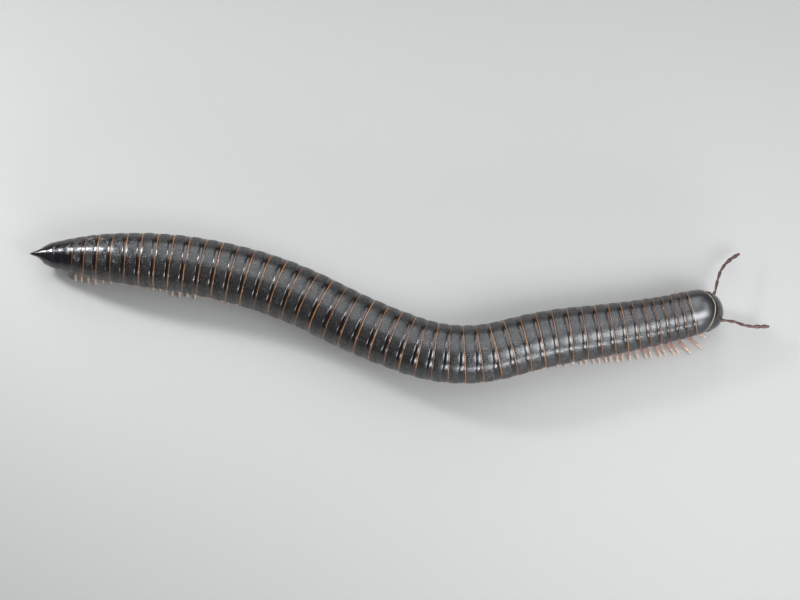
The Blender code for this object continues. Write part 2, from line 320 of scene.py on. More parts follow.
class Bench:
    """The modelling bench: what the hand does in edit mode, under short names."""

    @staticmethod
    def clear() -> None:
        """Deselect everything."""
        bpy.ops.object.select_all(action="DESELECT")

    @staticmethod
    def hold(*pieces: Piece) -> None:
        """Select pieces alone, with the first one active.

        Args:
            pieces: The pieces.
        """
        Bench.clear()
        for piece in pieces:
            piece.select_set(True)
        bpy.context.view_layer.objects.active = pieces[0]

    @staticmethod
    @contextmanager
    def editing(piece: Piece) -> Iterator[None]:
        """Open a piece in edit mode with all of it selected, and close it again.

        Args:
            piece: The piece.

        Yields:
            Nothing, while the piece is open.
        """
        Bench.hold(piece)
        bpy.ops.object.mode_set(mode="EDIT")
        bpy.ops.mesh.select_mode(type="VERT")
        bpy.ops.mesh.select_all(action="SELECT")
        yield
        bpy.ops.object.mode_set(mode="OBJECT")

    @staticmethod
    def pick_faces(piece: Piece, test: Callable[[Vector], bool]) -> None:
        """Select some faces of a piece in edit mode.

        Args:
            piece: The piece.
            test: What the middle of a face has to pass.
        """
        bpy.ops.mesh.select_mode(type="FACE")
        bpy.ops.mesh.select_all(action="DESELECT")
        shape = bmesh.from_edit_mesh(piece.data)
        for face in shape.faces:
            face.select = test(face.calc_center_median())
        bmesh.update_edit_mesh(piece.data)

    @staticmethod
    def close_end() -> None:
        """Close the selected open edge with a fan about its middle."""
        bpy.ops.mesh.extrude_region_move()
        bpy.ops.mesh.merge(type="CENTER")

    @staticmethod
    def call(piece: Piece, name: str) -> Piece:
        """Name a piece and its mesh."""
        piece.name = piece.data.name = name
        return piece

    @staticmethod
    def added(name: str) -> Piece:
        """Name the piece just added, and leave its place in its mesh."""
        bpy.ops.object.transform_apply(location=True, rotation=True, scale=True)
        return Bench.call(bpy.context.active_object, name)

    @staticmethod
    def loft(name: str, sections: Sequence[Triple], sides: int, ends: bool = True) -> Piece:
        """Draw a tube along Z: a circle that is extruded and resized from section to section.

        Args:
            name: What the piece is called.
            sections: Each section's distance along Z, its shift along Y and its radius.
            sides: How many sides the tube has.
            ends: Whether both ends are closed.

        Returns:
            The piece, smooth, with its faces outward.
        """
        Bench.clear()
        along, shift, radius = sections[0]
        bpy.ops.mesh.primitive_circle_add(vertices=sides, radius=radius, location=(0.0, shift, along))
        piece = Bench.added(name)
        with Bench.editing(piece):
            for before, after in zip(sections, sections[1:]):
                step = (0.0, after[1] - before[1], after[0] - before[0])
                bpy.ops.mesh.extrude_region_move(TRANSFORM_OT_translate={"value": step})
                share = after[2] / before[2]
                middle = (0.0, after[1], after[0])
                bpy.ops.transform.resize(value=(share, share, 1.0), center_override=middle)
            if ends:
                Bench.close_end()
                bpy.ops.mesh.select_all(action="DESELECT")
                bpy.ops.mesh.select_non_manifold()
                Bench.close_end()
            bpy.ops.mesh.select_all(action="SELECT")
            bpy.ops.mesh.normals_make_consistent(inside=False)
        return Bench.smooth(piece)

    @staticmethod
    def ball(name: str, centre: Vector, radii: Vector, size: tuple[int, int]) -> Piece:
        """Add a sphere stretched to its radii.

        Args:
            name: What the piece is called.
            centre: Its centre.
            radii: Its radii along X, Y and Z.
            size: Its segments and its rings.

        Returns:
            The piece.
        """
        Bench.clear()
        bpy.ops.mesh.primitive_uv_sphere_add(
            segments=size[0], ring_count=size[1], radius=1.0, location=centre, scale=radii
        )
        return Bench.smooth(Bench.added(name))

    @staticmethod
    def cut(piece: Piece, place: Vector, normal: Vector) -> None:
        """Cut away what lies beyond a plane, and close the cut.

        Args:
            piece: The piece.
            place: A point of the plane.
            normal: Where the part to cut away lies.
        """
        with Bench.editing(piece):
            bpy.ops.mesh.bisect(
                plane_co=place, plane_no=normal, use_fill=True, clear_outer=True, threshold=1e-7
            )

    @staticmethod
    def smooth(piece: Piece, degrees: float = SMOOTH_BELOW) -> Piece:
        """Shade a piece smooth, apart from edges sharper than an angle.

        Args:
            piece: The piece.
            degrees: The angle.

        Returns:
            The piece.
        """
        Bench.hold(piece)
        bpy.ops.object.shade_smooth_by_angle(angle=math.radians(degrees))
        return piece

    @staticmethod
    def copy(piece: Piece, name: str, points: np.ndarray | None = None) -> Piece:
        """Copy a piece together with its mesh.

        Args:
            piece: The piece.
            name: What the copy is called.
            points: The copy's points, where they differ.

        Returns:
            The copy.
        """
        twin = piece.copy()
        twin.data = piece.data.copy()
        bpy.context.scene.collection.objects.link(twin)
        if points is not None:
            Bench.set_points(twin, points)
        return Bench.call(twin, name)

    @staticmethod
    def join(pieces: Sequence[Piece], name: str) -> Piece:
        """Join pieces into one.

        Args:
            pieces: The pieces.
            name: What the whole is called.

        Returns:
            The whole.
        """
        Bench.hold(*pieces)
        if len(pieces) > 1:
            bpy.ops.object.join()
        return Bench.call(pieces[0], name)

    @staticmethod
    def drop(*pieces: Piece) -> None:
        """Remove pieces that were only modelled to be copied."""
        for piece in pieces:
            bpy.data.objects.remove(piece, do_unlink=True)

    @staticmethod
    def read(rows: bpy.types.bpy_prop_collection, key: str, width: int = 1, kind: type = float) -> np.ndarray:
        """Read one property of many mesh elements.

        Args:
            rows: The mesh's points, corners, faces or map entries.
            key: The property.
            width: How many numbers it has.
            kind: The type of these numbers.

        Returns:
            The numbers, one row for each element where there are several.
        """
        flat = np.empty(len(rows) * width, dtype=kind)
        rows.foreach_get(key, flat)
        return flat.reshape(-1, width) if width > 1 else flat

    @staticmethod
    def points(piece: Piece) -> np.ndarray:
        """Return a piece's points, one row each."""
        return Bench.read(piece.data.vertices, "co", 3)

    @staticmethod
    def set_points(piece: Piece, points: np.ndarray) -> None:
        """Give a piece its points."""
        piece.data.vertices.foreach_set("co", points.ravel())
        piece.data.update()

    @staticmethod
    def mark(piece: Piece, name: str, values: np.ndarray) -> None:
        """Write one number per point on a piece, for its finish to read."""
        layer = piece.data.attributes.new(name, "FLOAT", "POINT")
        layer.data.foreach_set("value", values.astype(np.float32))

    @staticmethod
    def wrap(piece: Piece, name: str, around: np.ndarray, along: np.ndarray) -> None:
        """Give a piece a map of turns around and distance along, with its seam between two faces.

        Args:
            piece: The piece.
            name: The map's name.
            around: Turns about the axis at each point, from -0.5 to 0.5.
            along: Distance along the axis at each point.
        """
        mesh = piece.data
        corners = Bench.read(mesh.loops, "vertex_index", kind=np.int32)
        starts = Bench.read(mesh.polygons, "loop_start", kind=np.int32)
        turns = around[corners]
        spread = np.maximum.reduceat(turns, starts) - np.minimum.reduceat(turns, starts)
        crossing = np.repeat(spread > 0.5, np.diff(np.append(starts, len(turns))))
        turns = np.where(crossing & (turns < 0.0), turns + 1.0, turns)
        layer = mesh.uv_layers.get(name) or mesh.uv_layers.new(name=name)
        layer.data.foreach_set("uv", np.column_stack((turns, along[corners])).ravel())

    @staticmethod
    def carve(piece: Piece, line: Sequence[Vector], width: float, depth: float) -> None:
        """Press a soft groove into a piece along a line, or raise a ridge with a negative depth.

        Args:
            piece: The piece.
            line: Points on or near its surface.
            width: How far from the line the groove fades out, in mm.
            depth: How deep it is at the line, in mm.
        """
        points = Bench.points(piece)
        normals = Bench.read(piece.data.vertices, "normal", 3)
        nearest = np.full(len(points), np.inf)
        for start, end in zip(line, line[1:] or line):
            first, run = np.array(start), np.array(end) - np.array(start)
            share = np.clip(((points - first) @ run) / max(run @ run, 1e-18), 0.0, 1.0)
            gap = np.linalg.norm(points - first - share[:, None] * run, axis=1)
            nearest = np.minimum(nearest, gap)
        inward = depth * MM * bell(nearest, width * MM)
        Bench.set_points(piece, points - normals * inward[:, None])


def limb(name: str, sections: Sequence[tuple[float, float]], sides: int) -> Piece:
    """Model a jointed limb, straight along Z, with its own map.

    Args:
        name: What the piece is called.
        sections: Each section's distance along, one unit from joint to joint, and its radius in mm.
        sides: How many sides it has.

    Returns:
        The limb.
    """
    piece = Bench.loft(name, [(along, 0.0, radius * MM) for along, radius in sections], sides)
    points = Bench.points(piece)
    Bench.wrap(piece, "limb", np.arctan2(points[:, 1], points[:, 0]) / TURN, points[:, 2])
    return piece


def follow(points: np.ndarray, path: np.ndarray, over: Vector = UP, bending: float = 0.6) -> np.ndarray:
    """Lay points made straight along Z, one unit from joint to joint, on a jointed path.

    Args:
        points: The straight points, with X and Y in metres and Z in joints.
        path: The places of the joints.
        over: The direction that the shape's Y side turns toward.
        bending: The share of a joint's length over which its end bends.

    Returns:
        The points on the path, turning softly at its joints.
    """
    steps = path[1:] - path[:-1]
    ways = steps / np.linalg.norm(steps, axis=1)[:, None]
    last = len(steps) - 1
    index = np.clip(np.floor(points[:, 2]).astype(int), 0, last)
    share = points[:, 2] - index
    behind = np.clip(0.5 - share / bending, 0.0, 0.5)[:, None]
    ahead = np.clip(0.5 - (1.0 - share) / bending, 0.0, 0.5)[:, None]
    way = ways[index] * (1.0 - behind - ahead)
    way += ways[np.maximum(index - 1, 0)] * behind + ways[np.minimum(index + 1, last)] * ahead
    way /= np.linalg.norm(way, axis=1)[:, None]
    across = np.cross(np.array(over), way)
    across /= np.linalg.norm(across, axis=1)[:, None]
    upward = np.cross(way, across)
    centre = path[index] + steps[index] * share[:, None]
    return centre + across * points[:, :1] + upward * points[:, 1:2]


class Graph:
    """Short calls for drawing the nodes of a material or a node group."""

    def __init__(self, tree: bpy.types.NodeTree) -> None:
        """Draw in a node tree."""
        self.tree = tree

    def node(self, kind: str, feeds: dict | None = None, **settings: object) -> bpy.types.Node:
        """Add a node.

        Args:
            kind: The node's type.
            feeds: What goes into its inputs, by name or number: a value or another node's output.
            settings: The node's own settings.

        Returns:
            The node.
        """
        node = self.tree.nodes.new(kind)
        for name, value in settings.items():
            setattr(node, name, value)
        for name, value in (feeds or {}).items():
            if isinstance(value, Socket):
                self.tree.links.new(value, node.inputs[name])
            else:
                node.inputs[name].default_value = value
        return node

    def maths(self, operation: str, first: object, second: object) -> Socket:
        """Return the result of a sum on two values."""
        return self.node("ShaderNodeMath", {0: first, 1: second}, operation=operation).outputs[0]

    def times(self, first: object, second: object) -> Socket:
        """Return the product of two values."""
        return self.maths("MULTIPLY", first, second)

    def lacking(self, value: object) -> Socket:
        """Return what a value lacks of 1."""
        return self.maths("SUBTRACT", 1.0, value)

    def ease(self, value: object, low: float, high: float, start: float = 0.0, end: float = 1.0) -> Socket:
        """Lead a value softly from one range to another.

        Args:
            value: The value.
            low: Where it starts to change the result. It may be the higher one of the two.
            high: Where it has changed the result in full.
            start: The result at low.
            end: The result at high.

        Returns:
            The result.
        """
        feeds = {"Value": value, "From Min": low, "From Max": high, "To Min": start, "To Max": end}
        if low > high:
            feeds |= {"From Min": high, "From Max": low, "To Min": end, "To Max": start}
        return self.node("ShaderNodeMapRange", feeds, interpolation_type="SMOOTHSTEP").outputs[0]

    def blend(self, share: object, first: object, second: object) -> Socket:
        """Return a blend of two colours."""
        feeds = {0: share, 6: shade(first), 7: shade(second)}
        return self.node("ShaderNodeMix", feeds, data_type="RGBA").outputs[2]

    def number(self, name: str) -> Socket:
        """Return a number that is marked on the piece."""
        return self.node("ShaderNodeAttribute", attribute_name=name).outputs["Fac"]

    def room(self) -> Sequence[Socket]:
        """Return the place in the room along X, Y and Z."""
        place = self.node("ShaderNodeTexCoord").outputs["Object"]
        return self.node("ShaderNodeSeparateXYZ", {0: place}).outputs

    def chart(self, name: str) -> Sequence[Socket]:
        """Return the turns around and the distance along of the piece's own map."""
        chart = self.node("ShaderNodeUVMap", uv_map=name).outputs[0]
        return self.node("ShaderNodeSeparateXYZ", {0: chart}).outputs

    def pattern(self, pattern: "Pattern", **feeds: float) -> Socket:
        """Place a shared pattern.

        Args:
            pattern: The pattern.
            feeds: Its own values here.

        Returns:
            What it puts out.
        """
        node = self.node("ShaderNodeGroup", node_tree=pattern.tree())
        for name, value in feeds.items():
            node.inputs[name].default_value = value
        return node.outputs[0]

    def clouds(self, scale: float) -> Socket:
        """Place soft uneven patches of a size."""
        return self.pattern(Pattern.CLOUDS, Scale=scale)

    def grain(self, scale: float) -> Socket:
        """Place the leathery relief of a size."""
        return self.pattern(Pattern.GRAIN, Scale=scale)


class Pattern(Enum):
    """The patterns that several finishes share. Each is a node group, built once."""

    CLOUDS = "clouds"
    SPECKS = "specks"
    GRAIN = "grain"
    LENGTH = "tail_to_head"

    def tree(self) -> bpy.types.NodeTree:
        """Find the pattern's node group, and build it the first time it is asked for.

        Returns:
            The node group.
        """
        made = bpy.data.node_groups.get(self.value)
        if made:
            return made
        made = bpy.data.node_groups.new(self.value, "ShaderNodeTree")
        made.interface.new_socket(name="Value", in_out="OUTPUT", socket_type="NodeSocketFloat")
        graph = Graph(made)
        if self is Pattern.LENGTH:
            drawn = self.length(graph)
        else:
            made.interface.new_socket(name="Scale", in_out="INPUT", socket_type="NodeSocketFloat")
            place = graph.node("ShaderNodeTexCoord").outputs["Object"]
            feeds = {"Vector": place, "Scale": graph.node("NodeGroupInput").outputs[0]}
            draw = {Pattern.CLOUDS: self.clouds, Pattern.SPECKS: self.specks, Pattern.GRAIN: self.grain}[self]
            drawn = draw(graph, feeds)
        graph.node("NodeGroupOutput", {0: drawn})
        return made

    @staticmethod
    def clouds(graph: Graph, feeds: dict) -> Socket:
        """Draw soft uneven patches."""
        noise = graph.node("ShaderNodeTexNoise", feeds | {"Detail": 3.0})
        return graph.ease(noise.outputs[0], 0.32, 0.68)

    @staticmethod
    def specks(graph: Graph, feeds: dict) -> Socket:
        """Draw sparse small dots, as of settled dust.

        Args:
            graph: Where to draw.
            feeds: The place and the scale.

        Returns:
            The dots.
        """
        cells = graph.node("ShaderNodeTexVoronoi", feeds)
        dots = graph.ease(cells.outputs["Distance"], 0.26, 0.12)
        return graph.times(dots, graph.ease(cells.outputs["Color"], 0.62, 0.70))

    @staticmethod
    def grain(graph: Graph, feeds: dict) -> Socket:
        """Draw the fine leathery relief of the cuticle.

        Args:
            graph: Where to draw.
            feeds: The place and the scale.

        Returns:
            The relief.
        """
        noise = graph.node("ShaderNodeTexNoise", feeds | {"Detail": 6.0})
        cells = graph.node("ShaderNodeTexVoronoi", feeds, feature="SMOOTH_F1")
        return graph.maths("ADD", noise.outputs[0], graph.times(cells.outputs["Distance"], 0.6))

    @staticmethod
    def length(graph: Graph) -> Socket:
        """Lead from 0 at the tail to 1 at the head."""
        return graph.ease(graph.room()[0], -0.019, 0.016)


@dataclass(frozen=True)
class Finish:
    """A finish of the cuticle: what all finishes share.

    The relief's depth is in metres, the roughness runs over a span with the fine patches, and the scales
    are those of the broad and the fine patches.
    """

    name: str = "cuticle"
    slot: Slot = Slot.LEG
    gloss: float = 0.5
    depth: float = 0.000001
    rough: Span = (0.24, 0.36)
    broad_scale: float = 3000.0
    fine_scale: float = 16000.0

    def material(self) -> bpy.types.Material:
        """Find the finish's material, and draw it the first time it is asked for.

        Returns:
            The material.
        """
        made = bpy.data.materials.get(self.name)
        if made:
            return made
        made = bpy.data.materials.new(self.name)
        made.use_nodes = True
        graph = Graph(made.node_tree)
        shader = made.node_tree.nodes["Principled BSDF"]
        shader.inputs["Specular IOR Level"].default_value = self.gloss
        colour, roughness, height = self.draw(graph)
        relief = graph.node("ShaderNodeBump", {"Height": height, "Distance": self.depth})
        for name, value in (("Base Color", colour), ("Roughness", roughness), ("Normal", relief.outputs[0])):
            made.node_tree.links.new(value, shader.inputs[name])
        return made

    def draw(self, graph: Graph) -> Look:
        """Return the finish's colour, roughness and relief."""
        raise NotImplementedError

    def patches(self, graph: Graph) -> tuple[Socket, Socket, Socket]:
        """Return the broad and the fine patches, and the roughness that runs with the fine ones."""
        fine = graph.clouds(self.fine_scale)
        return graph.clouds(self.broad_scale), fine, graph.ease(fine, 0.0, 1.0, *self.rough)


@dataclass(frozen=True)
class RingFinish(Finish):
    """Ring plates: grey striped rear part with painted shade in its furrows, black smooth front part, amber
    rear edge with a band of painted shade in the groove just before it.

    The spans along a plate count in ring lengths from its rear edge, and each runs from nothing to full.
    """

    name: str = "ring_plate"
    slot: Slot = Slot.RING
    gloss: float = 0.75
    depth: float = 0.000007
    rough: Span = (0.36, 0.21)
    broad_scale: float = 2600.0
    fine_scale: float = 15000.0
    rim_scale: float = 900.0
    dust_scale: float = 9000.0
    grain_scale: float = 16000.0
    stripes: float = 96.0
    stripe_edge: Span = (0.03, 0.20)
    edge: Span = (0.070, 0.058)
    # Where the black band of painted shade in the groove just before the amber edge fades out
    seam: Span = (0.120, 0.090)
    stripes_begin: Span = (0.11, 0.17)
    stripes_end: Span = (0.728, 0.678)
    polish: Span = (0.618, 0.698)
    front: Span = (0.746, 0.764)
    rings_to_tail: Span = (-0.0200, -0.0186)
    wear: Span = (0.6, 0.4)
    streak: float = 0.35
    # How far the furrows are darkened toward black: painted shade in the grooves
    furrow_painted_shade: float = 0.55
    rim_patches: float = 0.4
    dust_cover: float = 0.55
    front_lines: Span = (190.0, 0.05)
    grain_height: float = 0.35
    front_black: Colour = (0.0022, 0.0022, 0.0030)
    rear_dark: Colour = (0.0034, 0.0028, 0.0028)
    rear_light: Colour = (0.0084, 0.0070, 0.0078)
    tail_brown: Colour = (0.0070, 0.0050, 0.0042)
    amber: Colour = (0.340, 0.122, 0.014)
    rust: Colour = (0.110, 0.038, 0.018)
    tail_rim: Colour = (0.014, 0.009, 0.010)
    dust: Colour = (0.30, 0.25, 0.19)

    def draw(self, graph: Graph) -> Look:
        """Draw the bands across a ring and the fine stripes along it.

        Args:
            graph: Where to draw.

        Returns:
            The colour, the roughness and the relief.
        """
        times, blend, black = graph.times, graph.blend, self.front_black
        around, along, _ = graph.chart("plate")
        broad, fine = graph.clouds(self.broad_scale), graph.clouds(self.fine_scale)
        before_tail = graph.ease(graph.room()[0], *self.rings_to_tail)
        stripe = graph.ease(graph.maths("PINGPONG", times(around, self.stripes), 0.5), *self.stripe_edge)
        is_front = graph.ease(along, *self.front)
        is_edge = graph.ease(along, *self.edge)
        striped = times(graph.ease(along, *self.stripes_begin), graph.ease(along, *self.stripes_end))
        striped = times(striped, before_tail)
        furrow = times(graph.lacking(stripe), striped)
        rear = blend(broad, self.rear_dark, self.rear_light)
        rear = blend(times(fine, self.streak), rear, self.rear_light)
        rear = blend(graph.pattern(Pattern.LENGTH), self.tail_brown, rear)
        # The furrows are blended toward black: painted shade in the grooves of the stripes
        rear = blend(times(furrow, self.furrow_painted_shade), rear, black)
        rear = blend(before_tail, black, rear)
        colour = blend(is_front, rear, black)
        # Painted shade: a black band in the groove just before the amber rear edge
        colour = blend(times(graph.ease(along, *self.seam), graph.lacking(is_edge)), colour, black)
        rim = blend(graph.clouds(self.rim_scale), self.rust, self.amber)
        rim = blend(times(fine, self.rim_patches), rim, self.rust)
        colour = blend(is_edge, colour, blend(before_tail, self.tail_rim, rim))
        settled = times(graph.pattern(Pattern.SPECKS, Scale=self.dust_scale), self.dust_cover)
        colour = blend(times(settled, striped), colour, self.dust)
        feeds = {"Value": graph.number("tone"), "Color": colour}
        colour = graph.node("ShaderNodeHueSaturation", feeds).outputs[0]
        worn = graph.maths("ADD", times(broad, self.wear[0]), times(fine, self.wear[1]))
        shiny = graph.maths("MAXIMUM", is_front, graph.ease(along, *self.polish))
        shiny = graph.maths("MAXIMUM", shiny, graph.lacking(before_tail))
        feeds = {0: shiny, 2: graph.ease(worn, 0.0, 1.0, *self.rough), 3: self.rough[1]}
        roughness = graph.node("ShaderNodeMix", feeds).outputs[0]
        lines = graph.maths("SINE", times(along, self.front_lines[0]), 0.0)
        lines = times(lines, times(is_front, self.front_lines[1]))
        relief = graph.maths("ADD", times(graph.grain(self.grain_scale), self.grain_height), lines)
        return colour, roughness, graph.maths("SUBTRACT", relief, furrow)


@dataclass(frozen=True)
class CollumFinish(Finish):
    """The large first plate: smooth blue-black with a thin pale line inside its margin.

    The spans are distances from the margin and from the rear edge, in mm, each from nothing to full.
    """

    name: str = "collum_plate"
    slot: Slot = Slot.COLLUM
    gloss: float = 1.0
    depth: float = 0.000006
    rough: Span = (0.30, 0.36)
    broad_scale: float = 1500.0
    fine_scale: float = 9000.0
    grain_height: float = 0.05
    line_depth: float = 1.2
    line_outside: Span = (0.048, 0.058)
    line_inside: Span = (0.084, 0.070)
    rear_edge: Span = (0.050, 0.030)
    black: Colour = (0.006, 0.006, 0.0085)
    grey: Colour = (0.0085, 0.0080, 0.0105)
    pale: Colour = (0.66, 0.52, 0.27)
    brown: Colour = (0.26, 0.105, 0.035)

    def draw(self, graph: Graph) -> Look:
        """Draw the plate with its front and rear lines.

        Args:
            graph: Where to draw.

        Returns:
            The colour, the roughness and the relief.
        """
        front = graph.number("to_front")
        broad, _, roughness = self.patches(graph)
        line = graph.times(graph.ease(front, *self.line_outside), graph.ease(front, *self.line_inside))
        colour = graph.blend(line, graph.blend(broad, self.black, self.grey), self.pale)
        colour = graph.blend(graph.ease(graph.number("to_rear"), *self.rear_edge), colour, self.brown)
        grain = graph.times(graph.grain(self.fine_scale), self.grain_height)
        return colour, roughness, graph.maths("SUBTRACT", grain, graph.times(line, self.line_depth))


@dataclass(frozen=True)
class HeadFinish(Finish):
    """The head capsule: glossy black, brown toward the lip."""

    name: str = "head_capsule"
    slot: Slot = Slot.HEAD
    gloss: float = 1.0
    depth: float = 0.0000022
    rough: Span = (0.14, 0.24)
    broad_scale: float = 2600.0
    grain_scale: float = 14000.0
    lip_patches: Span = (0.7, 1.0)
    black: Colour = (0.0055, 0.0052, 0.0065)
    grey: Colour = (0.011, 0.009, 0.010)
    brown: Colour = (0.060, 0.026, 0.014)

    def draw(self, graph: Graph) -> Look:
        """Draw the capsule, warmer where the lip mark rises.

        Args:
            graph: Where to draw.

        Returns:
            The colour, the roughness and the relief.
        """
        broad, fine, roughness = self.patches(graph)
        lip = graph.times(graph.number("lip"), graph.ease(fine, 0.0, 1.0, *self.lip_patches))
        colour = graph.blend(lip, graph.blend(broad, self.black, self.grey), self.brown)
        return colour, roughness, graph.grain(self.grain_scale)


@dataclass(frozen=True)
class LimbFinish(Finish):
    """A jointed limb, darker round its joints, from one colour at its root to another at its tip.

    The spans are shares of the limb's length, or of a joint's where they lie near it.
    """

    name: str = "leg_joints"
    depth: float = 0.000003
    rough: Span = (0.30, 0.42)
    broad_scale: float = 7000.0
    fine_scale: float = 26000.0
    joints: float = 6.0
    root_to_middle: Span = (0.0, 0.5)
    middle_to_tip: Span = (0.55, 1.0)
    near_joint: Span = (0.10, 0.02)
    joint_shade: float = 0.8
    patch_shade: float = 0.35
    root: Colour = (0.22, 0.10, 0.075)
    middle: Colour = (0.42, 0.235, 0.185)
    tip: Colour = (0.62, 0.46, 0.35)
    joint: Colour = (0.11, 0.040, 0.028)

    def draw(self, graph: Graph) -> Look:
        """Draw the limb along its own map.

        Args:
            graph: Where to draw.

        Returns:
            The colour, the roughness and the relief.
        """
        along = graph.chart("limb")[1]
        broad, fine, roughness = self.patches(graph)
        colour = self.root
        for span, shade_after in ((self.root_to_middle, self.middle), (self.middle_to_tip, self.tip)):
            share = graph.ease(along, span[0] * self.joints, span[1] * self.joints)
            colour = graph.blend(share, colour, shade_after)
        near = graph.ease(graph.maths("PINGPONG", along, 0.5), *self.near_joint)
        for share in (graph.times(near, self.joint_shade), graph.times(broad, self.patch_shade)):
            colour = graph.blend(share, colour, self.joint)
        return colour, roughness, fine


@dataclass(frozen=True)
class MouthFinish(Finish):
    """Jaw bases and chin plates: dark, and browner where they are low."""

    name: str = "mouth_plates"
    slot: Slot = Slot.MOUTH
    depth: float = 0.000003
    rough: Span = (0.26, 0.38)
    broad_scale: float = 3500.0
    low: Span = (0.0011, 0.0004)
    patch_shade: float = 0.4
    dark: Colour = (0.012, 0.008, 0.007)
    brown: Colour = (0.065, 0.030, 0.017)

    def draw(self, graph: Graph) -> Look:
        """Draw the plates.

        Args:
            graph: Where to draw.

        Returns:
            The colour, the roughness and the relief.
        """
        broad, fine, roughness = self.patches(graph)
        colour = graph.blend(graph.ease(graph.room()[2], *self.low), self.dark, self.brown)
        colour = graph.blend(graph.times(broad, self.patch_shade), colour, self.dark)
        return colour, roughness, fine


@dataclass(frozen=True)
class TailFinish(Finish):
    """The last ring and its valves: polished black, with a horn-coloured point."""

    name: str = "tail_cone"
    slot: Slot = Slot.TAIL
    gloss: float = 1.0
    depth: float = 0.0000012
    rough: Span = (0.13, 0.20)
    fine_scale: float = 15000.0
    black: Colour = (0.0035, 0.0033, 0.0036)
    brown: Colour = (0.008, 0.0065, 0.0055)
    horn: Colour = (0.10, 0.040, 0.014)

    def draw(self, graph: Graph) -> Look:
        """Draw the cone, warmer where the tip mark rises.

        Args:
            graph: Where to draw.

        Returns:
            The colour, the roughness and the relief.
        """
        broad, fine, roughness = self.patches(graph)
        colour = graph.blend(broad, self.black, self.brown)
        return graph.blend(graph.number("tip"), colour, self.horn), roughness, fine


@dataclass(frozen=True)
class PlainFinish(Finish):
    """Claws, teeth and hairs of amber horn, or another finish of two colours in fine patches."""

    name: str = "claw_horn"
    fine_scale: float = 20000.0
    dark: Colour = (0.20, 0.075, 0.030)
    light: Colour = (0.42, 0.24, 0.13)

    def draw(self, graph: Graph) -> Look:
        """Draw the two colours."""
        fine = graph.clouds(self.fine_scale)
        return graph.blend(fine, self.dark, self.light), graph.ease(fine, 0.0, 1.0, *self.rough), fine


HORN = PlainFinish()
EYE_BEADS = PlainFinish(
    name="eye_beads",
    slot=Slot.EYE,
    gloss=0.7,
    rough=(0.07, 0.13),
    fine_scale=9000.0,
    dark=(0.003, 0.003, 0.004),
    light=(0.008, 0.009, 0.013),
)
ANTENNA_JOINTS = LimbFinish(
    name="antenna_joints",
    slot=Slot.ANTENNA,
    rough=(0.24, 0.36),
    joints=7.0,
    root=(0.060, 0.020, 0.015),
    middle=(0.038, 0.012, 0.009),
    tip=(0.030, 0.010, 0.009),
    joint=(0.130, 0.048, 0.030),
)


def seat(piece: Piece, finish: Finish, *nodes: str) -> Piece:
    """Give a finished piece its material, and let it ride in the place of the solids it stands for.

    Args:
        piece: The piece.
        finish: Its finish.
        nodes: The solids it stands for.

    Returns:
        The piece.
    """
    piece.data.materials.clear()
    piece.data.materials.append(finish.material())
    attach(piece, "root")
    if nodes:
        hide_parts(*nodes)
    LOG.info("%s: %d faces, %s", piece.name, len(piece.data.polygons), finish.name)
    return piece


@dataclass
class Setae:
    """A set of fine hairs: each is a slim three-sided cone from its root to its tip."""

    name: str
    thickness: float = 0.005 * MM
    patch: float = 0.003
    map_margin: float = 0.02

    def build(self, hairs: Sequence[Hair]) -> Piece:
        """Build the hairs with one map patch each, at the root's place.

        Args:
            hairs: The root and the tip of each hair.

        Returns:
            The piece that holds them all.
        """
        Bench.clear()
        bpy.ops.mesh.primitive_cone_add(vertices=3, radius1=1.0, radius2=0.0, depth=1.0, location=(0, 0, 0.5))
        base = Bench.added(f"{self.name}_one")
        straight = Bench.points(base)
        roots = np.array([root for root, _ in hairs])
        low, high = roots.min(axis=0), roots.max(axis=0)
        widest = sorted(np.argsort(high - low)[-2:])
        pieces = []
        for number, (root, tip) in enumerate(hairs):
            way = tip - root
            size = Matrix.Diagonal((self.thickness, self.thickness, way.length, 1.0))
            points = moved(straight, Matrix.Translation(root) @ toward(way) @ size)
            pieces.append(Bench.copy(base, f"{self.name}_{number}", points))
            spot = (np.array(root) - low) / np.maximum(high - low, 1e-9)
            corner = spot[widest] * (1.0 - 2.0 * self.map_margin) + self.map_margin
            layer = pieces[-1].data.uv_layers[0]
            layer.name = "OFBake"
            chart = Bench.read(layer.data, "uv", 2)
            layer.data.foreach_set("uv", (chart * self.patch + corner).ravel())
        Bench.drop(base)
        return seat(Bench.join(pieces, self.name), HORN)


